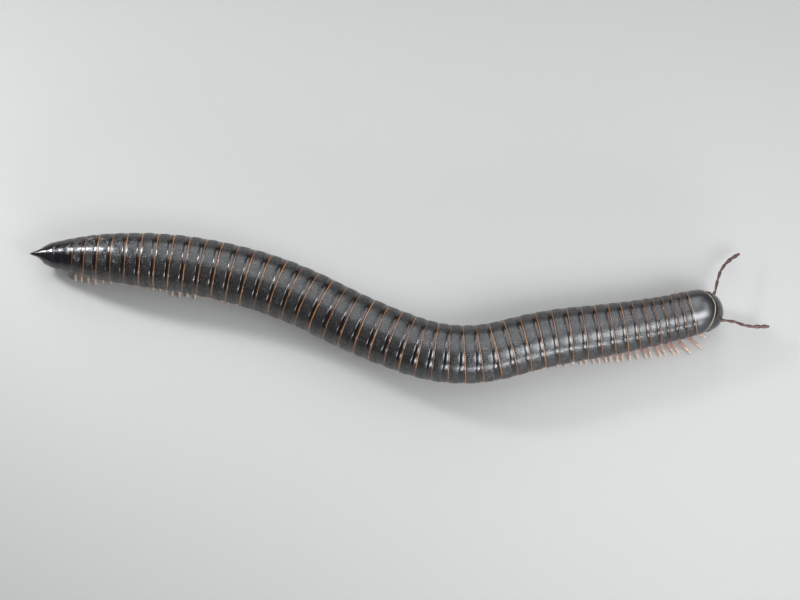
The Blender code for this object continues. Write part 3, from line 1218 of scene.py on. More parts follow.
@dataclass
class RingPlates:
    """The ring plates behind the first plate: one hoop, copied and fitted to each place on the body.

    Across, a hoop is measured in body radii, and along, in ring lengths from its rear edge.
    """

    line: BodyLine
    seed: int = 7
    stripes: int = 96
    stripe_depth: float = 0.0036
    striped: Span = (0.12, 0.69)
    outer: float = 0.985
    flat_below: float = -0.955
    flatness: float = 0.45
    first_pore: int = 6
    last_pore: int = 47
    pore_turn: float = 0.205
    pore_span: Span = (0.45, 0.54)
    # The thickness and the depth of the insets that make a pore: its rim, and its hole
    pore_insets: Rows = ((0.012, 0.004), (0.008, -0.020))
    wander: float = 0.10
    wander_counts: tuple[int, ...] = (7, 17, 31)
    girth_play: Span = (0.997, 1.002)
    tone_play: Span = (0.86, 1.16)
    # A hoop's section from inside the rear hollow, over the rear lip, to the tucked front end
    section: Rows = (
        (0.400, 0.930), (0.180, 0.962), (0.020, 0.978), (0.000, 0.983), (0.003, 0.9905),
        (0.022, 0.9925), (0.060, 0.9935), (0.070, 0.9895), (0.088, 0.9890), (0.105, 0.9945),
        (0.150, 0.9990), (0.230, 1.0010), (0.340, 1.0024), (0.450, 1.0028), (0.540, 1.0022),
        (0.610, 1.0006), (0.660, 0.9980), (0.700, 0.9943), (0.732, 0.9900), (0.752, 0.9860),
        (0.764, 0.9815), (0.776, 0.9850), (0.792, 0.9895), (0.840, 0.9908), (0.920, 0.9902),
        (0.975, 0.9880), (1.010, 0.9800), (1.120, 0.9680), (1.240, 0.9460), (1.300, 0.9200),
    )

    def model(self) -> Piece:
        """Model one hoop, straight along X, with the belly side a little flat.

        Returns:
            The hoop.
        """
        hoop = Bench.loft("hoop", [(along, 0.0, radius) for along, radius in self.section], 2 * self.stripes)
        points = Bench.points(hoop)[:, [2, 0, 1]]
        turns = np.arctan2(points[:, 1], points[:, 2]) * self.stripes / math.pi
        outside = np.linalg.norm(points[:, 1:], axis=1) > self.outer
        striped = outside & (points[:, 0] > self.striped[0]) & (points[:, 0] < self.striped[1])
        furrow = striped & (np.rint(turns) % 2 == 0)
        points[furrow, 1:] *= 1.0 - self.stripe_depth
        low = points[:, 2] < self.flat_below
        points[low, 2] = self.flat_below + (points[low, 2] - self.flat_below) * self.flatness
        Bench.set_points(hoop, points)
        return hoop

    def near_pore(self, middle: Vector) -> bool:
        """Tell whether a face lies where a pore opens.

        Args:
            middle: The middle of the face.

        Returns:
            Whether it does.
        """
        angle = math.atan2(abs(middle.y), middle.z)
        beside = abs(angle - TURN * self.pore_turn) < math.pi / self.stripes
        return beside and middle.yz.length > self.outer and self.pore_span[0] < middle.x < self.pore_span[1]

    def pierce(self, hoop: Piece) -> Piece:
        """Sink the two pores in the sides of a copy of the hoop.

        Args:
            hoop: The hoop.

        Returns:
            The copy.
        """
        pored = Bench.copy(hoop, "pored_hoop")
        with Bench.editing(pored):
            Bench.pick_faces(pored, self.near_pore)
            for thickness, depth in self.pore_insets:
                bpy.ops.mesh.inset(thickness=thickness, depth=depth)
        return pored

    def fitted(self, hoop: Piece, ring: int, dice: random.Random) -> Piece:
        """Copy the hoop and fit it to one ring's place, length and girth.

        Args:
            hoop: The hoop to copy.
            ring: The ring's number, counted from the first plate.
            dice: Where the small differences between rings come from.

        Returns:
            The ring plate.
        """
        place = RingSeat(self.line, ring)
        plate = Bench.copy(hoop, f"ring_{ring:02d}")
        points = Bench.points(plate)
        around = np.arctan2(points[:, 1], points[:, 2]) / TURN
        Bench.wrap(plate, "plate", around, points[:, 0])
        start = dice.uniform(0.0, TURN)
        wander = sum(np.sin(TURN * count * around + start * count) for count in self.wander_counts)
        twist = wander * self.wander * math.pi / self.stripes
        across = points[:, 1] * np.cos(twist) + points[:, 2] * np.sin(twist)
        upward = points[:, 2] * np.cos(twist) - points[:, 1] * np.sin(twist)
        along = points[:, 0] * place.pitch
        distance = place.edge + along
        girth = self.line.radius(distance) * dice.uniform(*self.girth_play)
        points = np.column_stack((along, across * girth, upward * girth + self.line.axis(distance)))
        Bench.set_points(plate, place.place(points))
        Bench.mark(plate, "tone", np.full(len(points), dice.uniform(*self.tone_play)))
        return plate

    def build(self) -> None:
        """Build every ring plate."""
        dice = random.Random(self.seed)
        plain = self.model()
        pored = self.pierce(plain)
        for ring in self.line.rings:
            hoop = pored if self.first_pore <= ring <= self.last_pore else plain
            seat(self.fitted(hoop, ring, dice), RingFinish(), f"trunk_{self.line.length_of(ring)}")
        Bench.drop(plain, pored)


@dataclass
class Legs:
    """The fine legs: one leg and one claw, copied to every place along the belly. Angles are in degrees."""

    line: BodyLine
    seed: int = 11
    sides: int = 6
    hip_out: float = 0.20 * MM
    foot_share: float = 0.72
    # Where the feet stand further out: ring, how many rings it spreads over, and how far in mm
    wider: Rows = (
        (1.0, 9.5, 0.95),
        (2.0, 0.55, -0.64),
        (4.0, 0.60, 0.14),
        (45.5, 1.6, 0.42),
        (38.6, 0.9, 0.40),
        (40.5, 0.9, 0.12),
        (35.8, 1.0, 0.14),
    )
    swing: float = 8.0
    swing_play: float = 2.5
    neck_swing: float = 38.0
    neck_reach: float = 1.45 * MM
    neck_power: float = 1.5
    still_swing: float = 45.0
    wave: float = 9.0
    wave_legs: float = 15.0
    left_lead: float = 2.0
    curve: float = 0.45
    radii: tuple[float, ...] = (0.104, 0.114, 0.106, 0.094, 0.080, 0.062, 0.042)
    # The sections of one joint: where along it, and the shares of its own and the next joint's radius
    profile: Rows = ((0.00, 0.76, 0.0), (0.22, 1.02, 0.0), (0.84, 0.5, 0.5))
    end: Span = (5.98, 0.8)
    # The joints of a leg: share of the way out from the hip, and height over the floor in mm
    joints: Rows = (
        (0.00, 0.575),
        (0.11, 0.505),
        (0.33, 0.500),
        (0.58, 0.545),
        (0.76, 0.500),
        (0.885, 0.345),
        (0.970, 0.085),
    )
    claw_radii: tuple[float, ...] = (0.022, 0.019, 0.013, 0.002)
    claw_root: float = 0.02 * MM
    claw_middle: float = 0.035 * MM
    claw_reach: float = 0.03 * MM
    claw_bend: float = 0.012 * MM
    claw_height: float = 0.004 * MM
    # The first rings have one leg pair each, at this share along the ring, and the others two
    last_single: int = 4
    single: tuple[float, ...] = (0.45,)
    double: tuple[float, ...] = (0.70, 0.24)
    haired: tuple[int, ...] = (3, 4, 5)
    hair_root: float = 0.03 * MM
    hair_way: Span = (0.075 * MM, 0.085 * MM)

    def model(self) -> tuple[Piece, Piece]:
        """Model one leg of six joints and one claw, straight along Z.

        Returns:
            The leg and the claw.
        """
        sections = [
            (joint + along, own * radius + share * after)
            for joint, (radius, after) in enumerate(zip(self.radii, self.radii[1:]))
            for along, own, share in self.profile
        ]
        leg = limb("leg_one", [*sections, (self.end[0], self.end[1] * self.radii[-1])], self.sides)
        rows = [(number, 0.0, radius * MM) for number, radius in enumerate(self.claw_radii)]
        return leg, Bench.loft("claw_one", rows, self.sides)

    def reach(self, ring: int, radius: float) -> float:
        """Return how far a foot stands from the middle of the body."""
        more = sum(far * bell(ring - middle, spread) for middle, spread, far in self.wider)
        return self.foot_share * radius + more * MM

    def forward(self, ring: int, share: float) -> float:
        """Return how far a leg points forward: most of all behind the neck.

        Args:
            ring: The ring that the leg grows from.
            share: Where along the ring it grows.

        Returns:
            The angle.
        """
        place = RingSeat(self.line, ring)
        behind = self.line.neck - place.edge - share * place.pitch
        return self.swing + self.neck_swing * bell(behind, self.neck_reach, self.neck_power)

    def path(self, ring: int, share: float, side: Side, swing: float, beat: float) -> np.ndarray:
        """Lay out the joints of one leg in the room.

        Args:
            ring: The ring that the leg grows from.
            share: Where along the ring it grows.
            side: The side of the animal.
            swing: How far it points forward.
            beat: Where the leg is in its step, from -1 to 1.

        Returns:
            The joints from hip to foot, curving forward.
        """
        place = RingSeat(self.line, ring)
        along = share * place.pitch
        radius = float(self.line.radius(np.array(place.edge + along)))
        out = self.reach(ring, radius) - self.hip_out
        angle = math.radians(swing + self.wave * beat * (1.0 - min(swing / self.still_swing, 1.0)))
        rows = []
        for way, height in self.joints:
            forward = along + out * way * math.tan(angle * (1.0 - self.curve + self.curve * way))
            rows.append((forward, side.value * (self.hip_out + out * way), height * MM))
        return place.place(np.array(rows))

    def claw_path(self, path: np.ndarray) -> np.ndarray:
        """Lay out the curve of the claw at the end of a leg.

        Args:
            path: The leg's joints.

        Returns:
            The claw's points from root to tip.
        """
        way = path[-1] - path[-2]
        way /= np.linalg.norm(way)
        level = way * (1.0, 1.0, 0.0)
        middle = path[-1] + way * self.claw_middle
        tip = path[-1] + level * self.claw_reach
        tip[2] = self.claw_height
        late = 0.5 * (middle + tip) + level * self.claw_bend
        return np.array((path[-1] - way * self.claw_root, middle, late, tip))

    def spots(self) -> Iterator[tuple[int, float]]:
        """Yield the spots of the leg pairs.

        Yields:
            The ring and the share along it of each pair.
        """
        for ring in range(self.line.first_ring, self.line.last_legged + 1):
            for share in self.single if ring <= self.last_single else self.double:
                yield ring, share

    def hairs(self, path: np.ndarray) -> Iterator[Hair]:
        """Yield the hairs over the outer joints of a leg.

        Args:
            path: The leg's joints.

        Yields:
            The root and the tip of each hair.
        """
        for joint in self.haired:
            root = Vector(path[joint])
            out = Vector(path[joint + 1]) - root
            tip = root + out.normalized() * self.hair_way[0] + UP * self.hair_way[1]
            yield root + UP * self.hair_root, tip

    def build(self) -> None:
        """Build the legs of each trunk length and side, their claws, and their hairs."""
        dice = random.Random(self.seed)
        leg, claw = self.model()
        straight, straight_claw = Bench.points(leg), Bench.points(claw)
        lots: dict[tuple[int, Side], tuple[list[Piece], list[Piece]]] = {}
        hairs = []
        for number, (ring, share) in enumerate(self.spots()):
            for side in Side:
                lead = self.left_lead if side is Side.LEFT else 0.0
                swing = self.forward(ring, share) + dice.uniform(-self.swing_play, self.swing_play)
                path = self.path(ring, share, side, swing, math.sin(TURN * (number + lead) / self.wave_legs))
                limbs, claws = lots.setdefault((self.line.length_of(ring), side), ([], []))
                word = f"{number}_{side.word}"
                limbs.append(Bench.copy(leg, f"leg_{word}", follow(straight, path)))
                claws.append(Bench.copy(claw, f"claw_{word}", follow(straight_claw, self.claw_path(path))))
                hairs += self.hairs(path)
        for (length, side), (limbs, claws) in lots.items():
            seat(Bench.join(limbs, f"legs_{side.word}_{length}"), LimbFinish(), f"trunk_{length}")
            seat(Bench.join(claws, f"claws_{side.word}_{length}"), HORN)
        Bench.drop(leg, claw)
        Setae("leg_setae", thickness=0.004 * MM).build(hairs)


@dataclass
class Collum:
    """The large first plate over the neck, a thin shell whose front margin sweeps back down the sides."""

    neck: Matrix
    radius: float = 1.31 * MM
    reach: float = 1.80 * MM
    power: float = 2.5
    front: float = 1.48 * MM
    least: float = 0.03 * MM
    sweep: float = 0.72
    sweep_power: float = 1.2
    lowest_turn: float = 121.0
    thickness: float = 0.036 * MM
    # Beads and a groove round the plate, in mm: height, distance from the edge they follow, and width
    rear_bead: Span = (0.020, 0.10)
    front_bead: Span = (0.012, 0.035)
    front_groove: Triple = (0.010, 0.07, 0.02)
    sides: int = 144
    steps: int = 44

    def margin(self, around: np.ndarray) -> np.ndarray:
        """Return how far forward the plate reaches at angles from the top."""
        level = np.maximum(np.cos(self.sweep * np.abs(around)), 0.0)
        return np.maximum(self.front * level**self.sweep_power, self.least)

    def build(self) -> Piece:
        """Build the shell: a tube, opened below, swept back, and given its thickness.

        Returns:
            The plate.
        """
        rows = [(i / self.steps, 0.0, 1.0) for i in range(self.steps + 1)]
        plate = Bench.loft("collum", rows, self.sides, ends=False)
        with Bench.editing(plate):
            Bench.pick_faces(plate, lambda middle: middle.y < math.cos(math.radians(self.lowest_turn)))
            bpy.ops.mesh.delete(type="FACE")
        flat = Bench.points(plate)
        around = np.arctan2(flat[:, 0], flat[:, 1])
        margin = self.margin(around)
        along = flat[:, 2] * margin
        to_front = (margin - along) / MM
        girth = self.radius * (1.0 - (along / self.reach) ** self.power) ** (1.0 / self.power)
        girth += self.rear_bead[0] * MM * bell(along, self.rear_bead[1] * MM)
        height, inside, width = self.front_groove
        bead = self.front_bead[0] * MM * bell(to_front, self.front_bead[1])
        girth += bead - height * MM * bell(to_front - inside, width)
        points = np.column_stack((along, girth * np.sin(around), girth * np.cos(around)))
        Bench.set_points(plate, moved(points, self.neck))
        Bench.mark(plate, "to_front", to_front)
        Bench.mark(plate, "to_rear", along / MM)
        with Bench.editing(plate):
            bpy.ops.mesh.normals_make_consistent(inside=False)
        wall = plate.modifiers.new("wall", "SOLIDIFY")
        wall.thickness = self.thickness
        wall.offset = -1.0
        wall.use_even_offset = True
        Bench.hold(plate)
        bpy.ops.object.modifier_apply(modifier=wall.name)
        return seat(Bench.smooth(plate, RIMMED_BELOW), CollumFinish(), "collum")


@dataclass
class Head:
    """The head capsule with its eyes, jaws and chin, in the frame at the neck.

    Places on it are in mm. A groove is a width and a depth in mm, and a ridge has a negative depth.
    """

    neck: Matrix
    centre: Vector
    radii: Vector
    mouth: float = -1.57 * MM
    mouth_inset: float = 0.07 * MM
    mouth_depth: float = 0.16 * MM
    crown: tuple[float, ...] = (0.90, 0.75, 0.55, 0.35, 0.15, -0.05, -0.25)
    crown_groove: Span = (0.030, 0.022)
    brow: tuple[float, ...] = (-0.55, -0.3, 0.0, 0.3, 0.55)
    # The height of the line over the brow, how far it bows down in the middle, and how tightly
    brow_line: Triple = (-0.98, 0.10, 2.2)
    brow_groove: Span = (0.045, 0.020)
    lip: tuple[float, ...] = (-0.36, -0.18, 0.0, 0.18, 0.36)
    lip_height: float = -1.36
    lip_groove: Span = (0.035, 0.018)
    socket_at: Span = (0.70, -0.36)
    socket_radius: float = 0.17
    socket_sink: float = 0.06
    socket_rim: Span = (0.045, -0.022)
    socket_pit: Span = (0.11, 0.075)
    cheek: Rows = ((1.62, -0.55), (1.45, -0.80), (1.38, -1.10), (1.28, -1.40))
    cheek_groove: Span = (0.040, 0.024)
    temple: tuple[float, ...] = (0.9, 1.15, 1.4, 1.55)
    temple_line: Span = (0.52, -0.25)
    temple_ridge: Span = (0.05, -0.010)
    fringe_below: float = -1.47 * MM
    fringe_before: float = 1.05 * MM
    notch: float = 0.075 * MM
    notch_reach: float = 0.10 * MM
    # Where the brown of the lip begins and how far it takes to rise: forward, and downward
    lip_front: Span = (1.0 * MM, 0.3 * MM)
    lip_fall: Span = (-0.95 * MM, 0.5 * MM)
    tooth_spots: tuple[float, ...] = (-0.055, 0.0, 0.055)
    tooth_height: float = -1.475
    tooth_sink: float = 0.015
    tooth_radii: Triple = (0.030, 0.024, 0.060)
    eye_at: Span = (1.22, 0.18)
    eye_rows: tuple[int, ...] = (5, 7, 8, 8, 7, 5)
    eye_pitch: float = 0.058 * MM
    eye_slant: float = 0.25
    eye_packing: float = 0.94
    bead_radius: float = 0.031 * MM
    bead_rise: float = 0.006
    mound_radii: Triple = (0.27, 0.22, 0.045)
    mound_sink: float = 0.018
    jaw_centre: Triple = (0.86, 0.78, -0.96)
    jaw_radii: Triple = (0.44, 0.29, 0.48)
    # The jaw's hinge line: how far it turns, in radians, its radii, and its height and slope
    hinge_turn: float = 1.5
    hinge_radii: Span = (0.4312, 0.27)
    hinge_line: Span = (0.13, -0.05)
    # How far inward and down the line below it lies
    lower_line: Span = (0.04, 0.42)
    jaw_grooves: Rows = ((0.035, 0.035), (0.035, 0.020))
    chin_centre: Triple = (0.52, 0.0, -1.48)
    chin_radii: Triple = (0.42, 0.55, 0.21)
    chin_groove: Span = (0.034, 0.020)
    chin_groove_fall: float = 0.20 * MM
    chin_seams: tuple[Rows, ...] = (
        ((0.14, 0.0), (0.42, -0.05)),
        ((0.42, -0.05), (0.60, 0.0), (0.92, 0.0)),
        ((0.42, -0.05), (0.56, 0.16), (0.88, 0.17)),
        ((0.42, -0.05), (0.56, -0.16), (0.88, -0.17)),
        ((0.14, 0.22), (0.40, 0.06)),
        ((0.14, -0.22), (0.40, -0.06)),
    )
    peg_spots: tuple[float, ...] = (-0.22, -0.08, 0.08, 0.22)
    peg_at: Span = (0.90, -1.50)
    peg_radii: Triple = (0.05, 0.035, 0.035)
    hair_spots: Rows = (
        (0.10, -1.16), (0.30, -1.12),
        (0.05, -1.44), (0.115, -1.44), (0.18, -1.44), (0.245, -1.44), (0.31, -1.44),
    )
    hair_length: float = 0.10 * MM
    hair_fall: Triple = (0.03, 0.0, -0.12)

    def on_face(self, left: float, up: float) -> Vector:
        """Return the point of the face at millimetres to the left and up."""
        rest = 1.0 - (left * MM / self.radii.y) ** 2 - ((up * MM - self.centre.z) / self.radii.z) ** 2
        return Vector((self.centre.x + self.radii.x * math.sqrt(max(rest, 0.0)), left * MM, up * MM))

    def on_side(self, forward: float, up: float, side: Side) -> Vector:
        """Find a point of a cheek.

        Args:
            forward: How far forward it lies, in mm.
            up: How far up it lies, in mm.
            side: The side of the animal.

        Returns:
            The point.
        """
        ahead = (forward * MM - self.centre.x) / self.radii.x
        rest = 1.0 - ahead**2 - ((up * MM - self.centre.z) / self.radii.z) ** 2
        return Vector((forward * MM, side.value * self.radii.y * math.sqrt(max(rest, 0.0)), up * MM))

    def outward(self, point: Vector) -> Vector:
        """Return the capsule's outward direction at a point on it."""
        away = point - self.centre
        return Vector([part / radius**2 for part, radius in zip(away, self.radii)]).normalized()

    def settle(self, piece: Piece) -> Piece:
        """Move a piece from the head's frame into the room."""
        Bench.set_points(piece, moved(Bench.points(piece), self.neck))
        return piece

    def seams(self) -> Iterator[tuple[list[Vector], Span]]:
        """Yield the lines that are carved into the capsule.

        Yields:
            The points of a line, and the width and depth of its groove.
        """
        yield [self.on_face(0.0, up) for up in self.crown], self.crown_groove
        height, bow, tightness = self.brow_line
        brow = [self.on_face(left, height - bow * math.cos(left * tightness)) for left in self.brow]
        yield brow, self.brow_groove
        yield [self.on_face(left, self.lip_height) for left in self.lip], self.lip_groove
        for side in Side:
            socket = self.on_face(self.socket_at[0] * side.value, self.socket_at[1])
            wide = self.socket_radius
            rim = []
            for turn in np.linspace(0.0, TURN, 13):
                step = mm(-self.socket_sink, wide * math.cos(turn) * side.value, wide * math.sin(turn))
                rim.append(socket + step)
            yield rim, self.socket_rim
            yield [socket], self.socket_pit
            yield [self.on_side(*place, side) for place in self.cheek], self.cheek_groove
            height, slope = self.temple_line
            temple = [self.on_side(forward, height + slope * forward, side) for forward in self.temple]
            yield temple, self.temple_ridge

    def capsule(self) -> Piece:
        """Model the capsule with its seams, sockets and lip.

        Returns:
            The capsule.
        """
        capsule = Bench.ball("head", self.centre, self.radii, (176, 120))
        Bench.cut(capsule, UP * self.mouth, -UP)
        with Bench.editing(capsule):
            Bench.pick_faces(capsule, lambda middle: middle.z < self.mouth + 0.01 * MM)
            bpy.ops.mesh.inset(thickness=self.mouth_inset)
            bpy.ops.mesh.extrude_region_move(TRANSFORM_OT_translate={"value": (0.0, 0.0, self.mouth_depth)})
        for line, groove in self.seams():
            Bench.carve(capsule, line, *groove)
        points = Bench.points(capsule)
        fringe = (points[:, 2] < self.fringe_below) & (points[:, 0] > self.fringe_before)
        notch = self.notch * bell(points[:, 1], self.notch)
        points[fringe, 2] += notch[fringe] * ((self.fringe_below - points[fringe, 2]) / self.notch_reach)
        Bench.set_points(capsule, points)
        front = np.clip((points[:, 0] - self.lip_front[0]) / self.lip_front[1], 0.0, 1.0)
        low = np.clip((self.lip_fall[0] - points[:, 2]) / self.lip_fall[1], 0.0, 1.0)
        Bench.mark(capsule, "lip", front * low)
        return capsule

    def teeth(self) -> Piece:
        """Model the three small teeth in the notch of the lip.

        Returns:
            The teeth.
        """
        teeth = []
        for number, left in enumerate(self.tooth_spots):
            root = self.on_face(left, self.tooth_height) - mm(self.tooth_sink, 0.0, 0.0)
            teeth.append(Bench.ball(f"tooth_{number}", root, mm(*self.tooth_radii), (10, 8)))
        return self.settle(Bench.join(teeth, "lip_teeth"))

    def eye(self, side: Side) -> Piece:
        """Model one eye field: a low mound with rows of beads.

        Args:
            side: The side of the animal.

        Returns:
            The eye field.
        """
        middle = self.on_side(*self.eye_at, side)
        out = self.outward(middle)
        forward = (Vector((1.0, 0.0, 0.0)) - out * out.x).normalized()
        across = out.cross(forward)
        bead = Bench.ball("bead", Vector(), Vector((1.0, 1.0, 1.0)) * self.bead_radius, (10, 6))
        straight = Bench.points(bead)
        beads = []
        rows = len(self.eye_rows)
        for row, count in enumerate(self.eye_rows):
            for place in range(count):
                ahead = (place - 0.5 * (count - 1) - self.eye_slant * (row - 0.5 * rows)) * self.eye_pitch
                rise = (row - 0.5 * (rows - 1)) * self.eye_pitch * self.eye_packing
                spot = middle + forward * ahead + across * side.value * rise
                spot = self.on_side(spot.x / MM, spot.z / MM, side) + out * self.bead_rise * MM
                beads.append(Bench.copy(bead, f"bead_{row}_{place}", straight + np.array(spot)))
        mound = Bench.ball("mound", Vector(), mm(*self.mound_radii), (32, 16))
        turn = Matrix((forward, across, out)).transposed().to_4x4()
        frame = Matrix.Translation(middle - out * self.mound_sink * MM) @ turn
        Bench.set_points(mound, moved(Bench.points(mound), frame))
        Bench.drop(bead)
        return self.settle(Bench.join([mound, *beads], f"eye_{side.word}"))

    def jaw(self, side: Side) -> Piece:
        """Model one jaw base: a rounded cheek plate with its hinge line and a line below it.

        Args:
            side: The side of the animal.

        Returns:
            The jaw base.
        """
        forward, left, up = self.jaw_centre
        centre = mm(forward, left * side.value, up)
        jaw = Bench.ball(f"jaw_{side.word}", centre, mm(*self.jaw_radii), (64, 44))
        hinge = []
        for turn in np.linspace(-self.hinge_turn, self.hinge_turn, 9):
            out = self.hinge_radii[1] * side.value * max(math.cos(turn), 0.0)
            up = self.hinge_line[0] + self.hinge_line[1] * turn
            hinge.append(centre + mm(self.hinge_radii[0] * math.sin(turn), out, up))
        inward, down = self.lower_line
        lower = [point - mm(0.0, inward * side.value, down) for point in hinge[2:-2]]
        for line, groove in zip((hinge, lower), self.jaw_grooves):
            Bench.carve(jaw, line, *groove)
        return self.settle(jaw)

    def chin(self) -> Piece:
        """Model the chin: one broad plate parted by its seams, with two pairs of feeler pegs in front.

        Returns:
            The chin.
        """
        centre = mm(*self.chin_centre)
        chin = Bench.ball("chin", centre, mm(*self.chin_radii), (72, 40))
        low = centre.z - self.chin_groove_fall
        for seam in self.chin_seams:
            Bench.carve(chin, [Vector((x * MM, y * MM, low)) for x, y in seam], *self.chin_groove)
        forward, up = self.peg_at
        pegs = [
            Bench.ball(f"peg_{number}", mm(forward, left, up), mm(*self.peg_radii), (12, 8))
            for number, left in enumerate(self.peg_spots)
        ]
        return self.settle(Bench.join([chin, *pegs], "chin"))

    def hairs(self) -> Iterator[Hair]:
        """Yield the hairs over and along the lip.

        Yields:
            The root and the tip of each hair.
        """
        for left, up in self.hair_spots:
            for side in Side:
                root = self.on_face(left * side.value, up)
                tip = root + self.outward(root) * self.hair_length + mm(*self.hair_fall)
                yield self.neck @ root, self.neck @ tip

    def build(self) -> None:
        """Build the head's pieces."""
        seat(self.settle(self.capsule()), HeadFinish(), "head")
        seat(self.teeth(), HORN)
        seat(self.chin(), MouthFinish(), "chin")
        for side in Side:
            seat(self.eye(side), EYE_BEADS, f"eye_{side.word}")
            seat(self.jaw(side), MouthFinish(), f"jaw_{side.word}")
        Setae("lip_setae").build(list(self.hairs()))


@dataclass
class Antennae:
    """The two feelers, each of seven club-shaped joints with sense pegs at the tip.

    Places and sizes are in mm, and angles in degrees.
    """

    neck: Matrix
    root: Triple = (1.48, 0.70, -0.36)
    lengths: tuple[float, ...] = (0.42, 0.60, 0.55, 0.48, 0.50, 0.38, 0.18)
    drops: tuple[float, ...] = (0.0, 2.0, 6.0, 11.0, 14.0, 16.0, 18.0)
    left_spreads: tuple[float, ...] = (48.0, 63.5, 58.0, 43.5, 31.0, 22.0, 17.5)
    left_stretch: float = 1.115
    right_spreads: tuple[float, ...] = (16.0, 23.0, 34.0, 22.0, 11.0, 9.0, 10.0)
    # The waist and the club of each joint
    waists: tuple[float, ...] = (0.085, 0.055, 0.055, 0.056, 0.060, 0.066, 0.070)
    clubs: tuple[float, ...] = (0.100, 0.098, 0.098, 0.102, 0.126, 0.124, 0.085)
    # The sections of one joint: where along it, and the shares of its waist and its club
    profile: Rows = (
        (0.00, 1.0, 0.0),
        (0.16, 0.75, 0.25),
        (0.45, 0.35, 0.65),
        (0.72, 0.0, 1.0),
        (0.90, 0.0, 0.96),
        (0.985, 0.0, 0.74),
    )
    sides: int = 16
    peg_radii: Triple = (0.014, 0.014, 0.045)
    peg_gap: float = 0.022
    peg_tone: float = 6.5
    whorls: Span = (0.45, 0.80)
    whorl_hairs: int = 7
    hair_root: float = 0.85
    hair_lean: float = 0.45
    hair_length: float = 0.085

    def model(self) -> Piece:
        """Model one feeler, straight along Z.

        Returns:
            The feeler.
        """
        sections = [
            (joint + along, narrow * waist + wide * club)
            for joint, (waist, club) in enumerate(zip(self.waists, self.clubs))
            for along, narrow, wide in self.profile
        ]
        return limb("feeler", sections, self.sides)

    def path(self, side: Side) -> np.ndarray:
        """Lay out the joints of one feeler in the room.

        Args:
            side: The side of the animal.

        Returns:
            The joints from root to tip.
        """
        is_left = side is Side.LEFT
        spreads, stretch = (self.left_spreads, self.left_stretch) if is_left else (self.right_spreads, 1.0)
        place = mm(self.root[0], self.root[1] * side.value, self.root[2])
        joints = [place]
        for length, spread, drop in zip(self.lengths, spreads, self.drops):
            outward, down = math.radians(spread), math.radians(drop)
            level = math.cos(down)
            way = Vector((level * math.cos(outward), side.value * level * math.sin(outward), -math.sin(down)))
            place = place + way * length * stretch * MM
            joints.append(place)
        return moved(np.array(joints), self.neck)

    @staticmethod
    def cross_frame(start: np.ndarray, end: np.ndarray) -> tuple[Vector, Vector, Vector]:
        """Find the directions along, across and over a joint.

        Args:
            start: Where the joint starts.
            end: Where it ends.

        Returns:
            The three directions.
        """
        way = (Vector(end) - Vector(start)).normalized()
        across = way.cross(UP).normalized()
        return way, across, across.cross(way)

    def pegs(self, path: np.ndarray, side: Side) -> list[Piece]:
        """Model the four sense pegs at the tip of a feeler.

        Args:
            path: The feeler's joints.
            side: The side of the animal.

        Returns:
            The pegs.
        """
        way, across, over = self.cross_frame(path[-2], path[-1])
        pegs = []
        for number, (left, up) in enumerate(((1, 1), (1, -1), (-1, 1), (-1, -1))):
            root = Vector(path[-1]) + (across * left + over * up) * self.peg_gap * MM
            peg = Bench.ball(f"sense_{side.word}_{number}", Vector(), mm(*self.peg_radii), (8, 6))
            Bench.set_points(peg, moved(Bench.points(peg), Matrix.Translation(root) @ toward(way)))
            chart = np.zeros(len(peg.data.vertices))
            Bench.wrap(peg, "limb", chart, chart + self.peg_tone)
            pegs.append(peg)
        return pegs

    def hairs(self, path: np.ndarray) -> Iterator[Hair]:
        """Yield the whorls of hairs near the end of each joint.

        Args:
            path: The feeler's joints.

        Yields:
            The root and the tip of each hair.
        """
        for joint, club in enumerate(self.clubs[1:], start=1):
            way, across, over = self.cross_frame(path[joint], path[joint + 1])
            for share in self.whorls:
                middle = Vector(path[joint]).lerp(Vector(path[joint + 1]), share)
                for turn in np.linspace(0.0, TURN, self.whorl_hairs + 1)[:-1]:
                    out = across * math.cos(turn + share) + over * math.sin(turn + share)
                    root = middle + out * club * self.hair_root * MM
                    yield root, root + (out * self.hair_lean + way) * self.hair_length * MM

    def build(self) -> None:
        """Build both feelers and their hairs."""
        feeler = self.model()
        straight = Bench.points(feeler)
        hairs = []
        for side in Side:
            path = self.path(side)
            name = f"antenna_{side.word}"
            whole = Bench.copy(feeler, name, follow(straight, path))
            seat(Bench.join([whole, *self.pegs(path, side)], name), ANTENNA_JOINTS, name)
            hairs += self.hairs(path)
        Bench.drop(feeler)
        Setae("antenna_setae", thickness=0.004 * MM).build(hairs)


